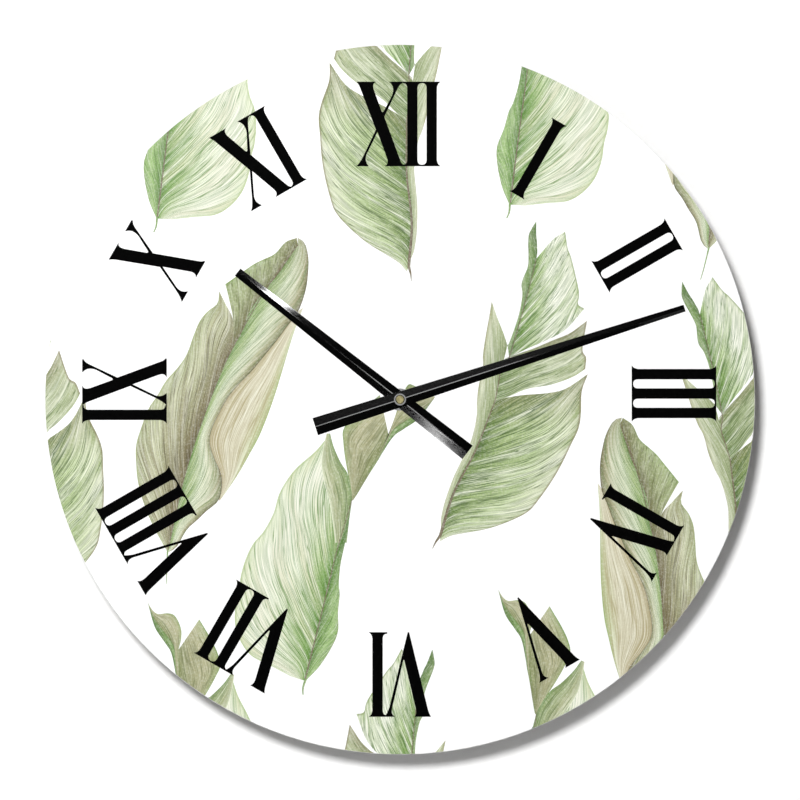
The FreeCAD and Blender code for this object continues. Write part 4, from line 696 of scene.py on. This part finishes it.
def stem(joined_left, joined_right):
    """A letter I. A joined side's serif is longer and meets the next letter's."""
    corners = []
    for side, joined in ((1, joined_right), (-1, joined_left)):
        edge = STEM_WIDTH if side > 0 else 0
        reach = edge + side * (JOINED_REACH if joined else FREE_REACH)
        thick = SERIF_LINE if joined else SERIF_TIP
        pull = edge + side * (0 if joined else FREE_PULL)
        level = SERIF_LINE if joined else FREE_LEVEL
        run = [(reach, NUMERAL_HEIGHT), (reach, NUMERAL_HEIGHT - thick),
               (pull, NUMERAL_HEIGHT - level, edge, NUMERAL_HEIGHT - BRACKET),
               (edge, BRACKET), (pull, level, reach, thick), (reach, 0)]
        if side < 0:
            run = [(reach, 0), (reach, thick), (pull, level, edge, BRACKET),
                   (edge, NUMERAL_HEIGHT - BRACKET),
                   (pull, NUMERAL_HEIGHT - level, reach, NUMERAL_HEIGHT - thick),
                   (reach, NUMERAL_HEIGHT)]
        corners += run
    return outline(corners)


TOP = NUMERAL_HEIGHT
LETTER_V = outline([
    (0, TOP), (9.4, TOP), (9.4, 48.2), (7.9, 47.2, 8.7, 43.5), (15.2, 16.4),
    (15.5, 15.2, 15.9, 16.4), (22.2, 43.4), (23.0, 47.0, 20.7, 48.2), (20.7, TOP),
    (26.6, TOP), (26.6, 48.2), (25.3, 47.4, 23.7, 42.8), (13.3, 0), (12.5, 0), (1.9, 43.4),
    (1.1, 46.8, 0, 48.2),
])
LETTER_X = outline([
    (0, TOP), (11.0, TOP), (11.0, 48.2), (8.7, 47.4, 9.8, 43.8), (14.2, 31.6),
    (14.8, 30.4, 15.6, 31.6), (20.1, 40.2), (22.2, 45.4, 18.8, 48.2), (18.8, TOP),
    (26.2, TOP), (26.2, 47.5), (24.8, 47.2, 23.4, 44.4), (15.8, 28.3), (25.0, 3.3),
    (25.7, 1.2, 26.7, 0.9), (26.7, 0), (16.1, 0), (16.1, 0.2), (18.6, 1.2, 17.3, 4.8),
    (11.9, 19.6), (5.6, 6.6), (4.3, 2.9, 6.9, 0.2), (6.9, 0), (0, 0), (0, 0.2),
    (2.0, 2.0, 4.2, 6.6), (11.0, 20.9), (2.1, 44.6), (1.0, 47.2, 0, 48.2),
])
# Where a letter after a V or an X starts, and the step between two stems.
NEXT_TO_V = 27.6
NEXT_TO_X = 28.9
STEM_STEP = STEM_WIDTH + 2 * JOINED_REACH


def letters(text):
    """The outlines of a numeral's letters, side by side."""
    placed, x = [], 0.0
    for i, letter in enumerate(text):
        if letter == "I":
            shape = stem(i > 0, i + 1 < len(text))
            step = STEM_STEP if text[i + 1 : i + 2] == "I" else STEM_WIDTH + JOINED_REACH
        elif letter == "V":
            shape, step = LETTER_V, NEXT_TO_V
        else:
            shape, step = LETTER_X, NEXT_TO_X
        placed.append([(px + x, py) for px, py in shape])
        x += step
    return placed


# Each numeral with the middle of the space that it takes, in millimetres from the centre.
NUMERALS = [
    ("XII", -0.9, 157.7), ("I", 79.0, 137.9), ("II", 135.7, 82.4), ("III", 156.8, 3.4),
    ("IV", 135.7, -76.1), ("V", 85.0, -137.7), ("VI", 0.0, -157.4), ("VII", -91.0, -135.7),
    ("VIII", -142.2, -75.0), ("IX", -157.7, 4.9), ("X", -139.1, 79.3), ("XI", -81.3, 137.9),
]
NUMERAL_FRONT = DIAL_FACE - 0.00015
for hour, (text, middle_x, middle_z) in enumerate(NUMERALS):
    angle = -math.radians(30 * hour)
    spin = np.array([[math.cos(angle), math.sin(angle)], [-math.sin(angle), math.cos(angle)]])
    shapes = [np.array(shape) @ spin for shape in letters(text)]
    together = np.vstack(shapes)
    middle = (together.min(0) + together.max(0)) / 2
    points, faces = [], []
    for shape in shapes:
        flat = (shape - middle + (middle_x, middle_z)) * MM
        first, count = len(points), len(flat)
        points += [(x, NUMERAL_FRONT, z) for x, z in flat]
        points += [(x, DIAL_FACE, z) for x, z in flat]
        faces.append([first + k for k in range(count)])
        faces.append([first + count + k for k in reversed(range(count))])
        faces += [[first + (k + 1) % count, first + k, first + count + k,
                   first + count + (k + 1) % count] for k in range(count)]
    numeral = sheet("numeral_" + text, points, faces, numeral_ink)
    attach(numeral, "clock_body")


# ---------------------------------------------------------------- brass fittings
# The bushing, washer and dial nut hold the movement to the dial; the minute arbor, the hour
# hand's collet and the hand nut carry the hands. All are turned brass, slightly tarnished, with
# fine tool rings round their axis.
brass, shader = surface("turned_brass", Metallic=1.0)
place = add(brass, "TexCoord").outputs["Object"]
rings = add(brass, "TexWave", {"Vector": place, "Scale": per(0.35) / 6.3, "Distortion": 0.4,
                               "Detail": 1}, wave_type="RINGS", rings_direction="Y")
tarnish = add(brass, "TexNoise", {"Vector": place, "Scale": per(2.5), "Detail": 4})
tint = add(brass, "ValToRGB", {"Fac": tarnish}, stops=[(0.3, "5b573f"), (0.7, "7a7352")])
sheen = add(brass, "MapRange", {"Value": tarnish, "From Min": 0.3,
                                "From Max": 0.7, "To Min": 0.26, "To Max": 0.42})
relief = add(brass, "Bump", {"Height": rings.outputs["Fac"], "Strength": 0.15,
                             "Distance": 0.00004})
feed(brass, shader, Base_Color=tint, Roughness=sheen, Normal=relief)
dress(brass, "threaded_bushing", "dial_washer", "dial_nut", "minute_arbor",
      "hour_hand_collet", "hand_nut")


# ---------------------------------------------------------------- hands
# The hands are stamped from aluminium with a low ridge along the middle and stoved in gloss
# black lacquer, which is thick enough to round their edges; fine dust lies on it.
hand_lacquer, shader = surface("stoved_black_lacquer", IOR=1.5)
place = add(hand_lacquer, "TexCoord").outputs["Object"]
dust = add(hand_lacquer, "TexNoise", {"Vector": place, "Scale": per(1.5), "Detail": 3})
tint = add(hand_lacquer, "ValToRGB", {"Fac": dust}, stops=[(0.4, "010101"), (0.8, "050505")])
sheen = add(hand_lacquer, "MapRange", {"Value": dust, "From Min": 0.3,
                                       "From Max": 0.7, "To Min": 0.05, "To Max": 0.065})
feed(hand_lacquer, shader, Base_Color=tint, Roughness=sheen)
dress(hand_lacquer, "minute_hand", "hour_hand")
for name in ("minute_hand", "hour_hand"):
    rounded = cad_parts[name].modifiers.new("rounded_edge", "BEVEL")
    rounded.width = 0.00012
    rounded.segments = 2
    rounded.limit_method = "ANGLE"
    rounded.angle_limit = math.radians(40)

# A lighting choice: the hands, their collet, arbor and nut throw no shadow, so that the dial
# stays evenly bright.
for name in ("minute_hand", "hour_hand", "hand_nut", "hour_hand_collet", "minute_arbor"):
    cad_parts[name].visible_shadow = False


# ---------------------------------------------------------------- wall and floor
# The clock hangs on a white painted wall above a pale floor. The wall shows from the room side
# only, so that the back of the clock can be looked at.
wall_paint, shader = surface("white_wall_paint", IOR=1.5)
place = add(wall_paint, "TexCoord").outputs["Object"]
nap = add(wall_paint, "TexNoise", {"Vector": place, "Scale": per(4), "Detail": 3})
tint = add(wall_paint, "ValToRGB", {"Fac": nap}, stops=[(0.3, "fcfcfb"), (0.7, "ffffff")])
feed(wall_paint, shader, Base_Color=tint)
shader.inputs["Roughness"].default_value = 0.9
behind = add(wall_paint, "NewGeometry").outputs["Backfacing"]
clear = add(wall_paint, "BsdfTransparent")
front = add(wall_paint, "MixShader", {0: behind, 1: shader.outputs["BSDF"],
                                      2: clear.outputs["BSDF"]})
paint_out = wall_paint.node_tree.nodes["Material Output"]
wall_paint.node_tree.links.new(front.outputs["Shader"], paint_out.inputs["Surface"])

WALL_HALF = 1.6
WALL_FACE = 0.0002
FLOOR_LEVEL = -1.2
FLOOR_FRONT = -3
room = [
    ("wall", [(-WALL_HALF, WALL_FACE, FLOOR_LEVEL), (WALL_HALF, WALL_FACE, FLOOR_LEVEL),
              (WALL_HALF, WALL_FACE, WALL_HALF), (-WALL_HALF, WALL_FACE, WALL_HALF)]),
    ("floor", [(-WALL_HALF, FLOOR_FRONT, FLOOR_LEVEL), (WALL_HALF, FLOOR_FRONT, FLOOR_LEVEL),
               (WALL_HALF, WALL_FACE, FLOOR_LEVEL), (-WALL_HALF, WALL_FACE, FLOOR_LEVEL)]),
]
for name, corners in room:
    plane = sheet(name, corners, [(0, 1, 2, 3)], wall_paint)
    plane.visible_shadow = False


# ---------------------------------------------------------------- light and camera
# One soft lamp stands up and to the left, in front of the wall, and the room fills in the rest.
# The lamp's slope sets how far the dial's shadow falls, and its width how soft it is.
def lamp(name, place, target, width, length, along_line, power):
    """A flat lamp at place, facing target, with its long side along a line."""
    light = bpy.data.lights.new(name, "AREA")
    light.shape = "ELLIPSE"
    light.size = length
    light.size_y = width
    light.energy = power
    away = (Vector(place) - Vector(target)).normalized()
    side = Vector(along_line)
    side = (side - away * side.dot(away)).normalized()
    axes = Matrix((side, away.cross(side), away)).transposed().to_4x4()
    stand = put(name, light)
    stand.matrix_world = Matrix.Translation(place) @ axes
    return stand


main_place = Vector((-0.195, -1.0, 0.315)).normalized() * 2.6
lamp("soft_lamp", main_place, (0, 0, 0), 0.58, 0.58, (1, 0, 0), 67.5)

# Three small lamps give the hands their glints: one is seen in the hour hand's upper slope, one
# in the lower slope of its tail, and one in the flat along the minute hand's ridge.
glints = [
    lamp("hour_hand_glint", (0.315, -2.100, 0.681), (-0.072, -0.029, 0.056), 0.06, 0.06,
         (1, 0, 0), 0.6),
    lamp("hour_tail_glint", (-0.2405, -2.180, -0.4186), (0.027, -0.029, -0.025), 0.06, 0.06,
         (1, 0, 0), 0.22),
    lamp("ridge_glint", (0.02, -3.2, 0.01), (0, 0, 0), 0.1, 0.3, (0.952, 0, 0.306), 0.6),
]
# They light no matt surface: only gloss shows them.
for glint in glints:
    glint.visible_diffuse = False

# The room's own light is faint in front of the clock and strong behind it, where it shows the
# back. The part behind stops after the first bounce, so that the shadow on the wall stays dark,
# and the camera sees the room as plain white.
room_light = bpy.data.worlds.new("white_room")
room_light.use_nodes = True
depth = add(room_light, "SeparateXYZ", {"Vector": add(room_light, "TexCoord").outputs["Generated"]})
path = add(room_light, "LightPath")
behind = add(room_light, "MapRange", {"Value": depth.outputs["Y"], "From Max": 0.2, "To Max": 1.0})
direct = add(room_light, "Math", {0: path.outputs["Ray Depth"], 1: 1.5}, operation="LESS_THAN")
behind = add(room_light, "Math", {0: behind, 1: direct}, operation="MULTIPLY")
level = add(room_light, "Math", {0: behind, 1: 0.035}, operation="ADD")
level = add(room_light, "Math", {0: level, 1: path.outputs["Is Camera Ray"]}, operation="MAXIMUM")
backdrop = room_light.node_tree.nodes["Background"]
backdrop.inputs["Color"].default_value = (1, 1, 1, 1)
room_light.node_tree.links.new(output(level), backdrop.inputs["Strength"])
bpy.context.scene.world = room_light
bpy.context.scene.view_settings.view_transform = "Standard"

VIEW_DISTANCE = 2.5
VIEW_WIDTH = 0.4579
camera = bpy.data.cameras.new("camera")
camera.sensor_width = 36
camera.lens = camera.sensor_width * (VIEW_DISTANCE + DIAL_FACE) / VIEW_WIDTH
camera_stand = put("camera", camera)
camera_stand.location = (0, -VIEW_DISTANCE, -0.0003)
camera_stand.rotation_euler = (math.radians(90), 0, 0)
bpy.context.scene.camera = camera_stand
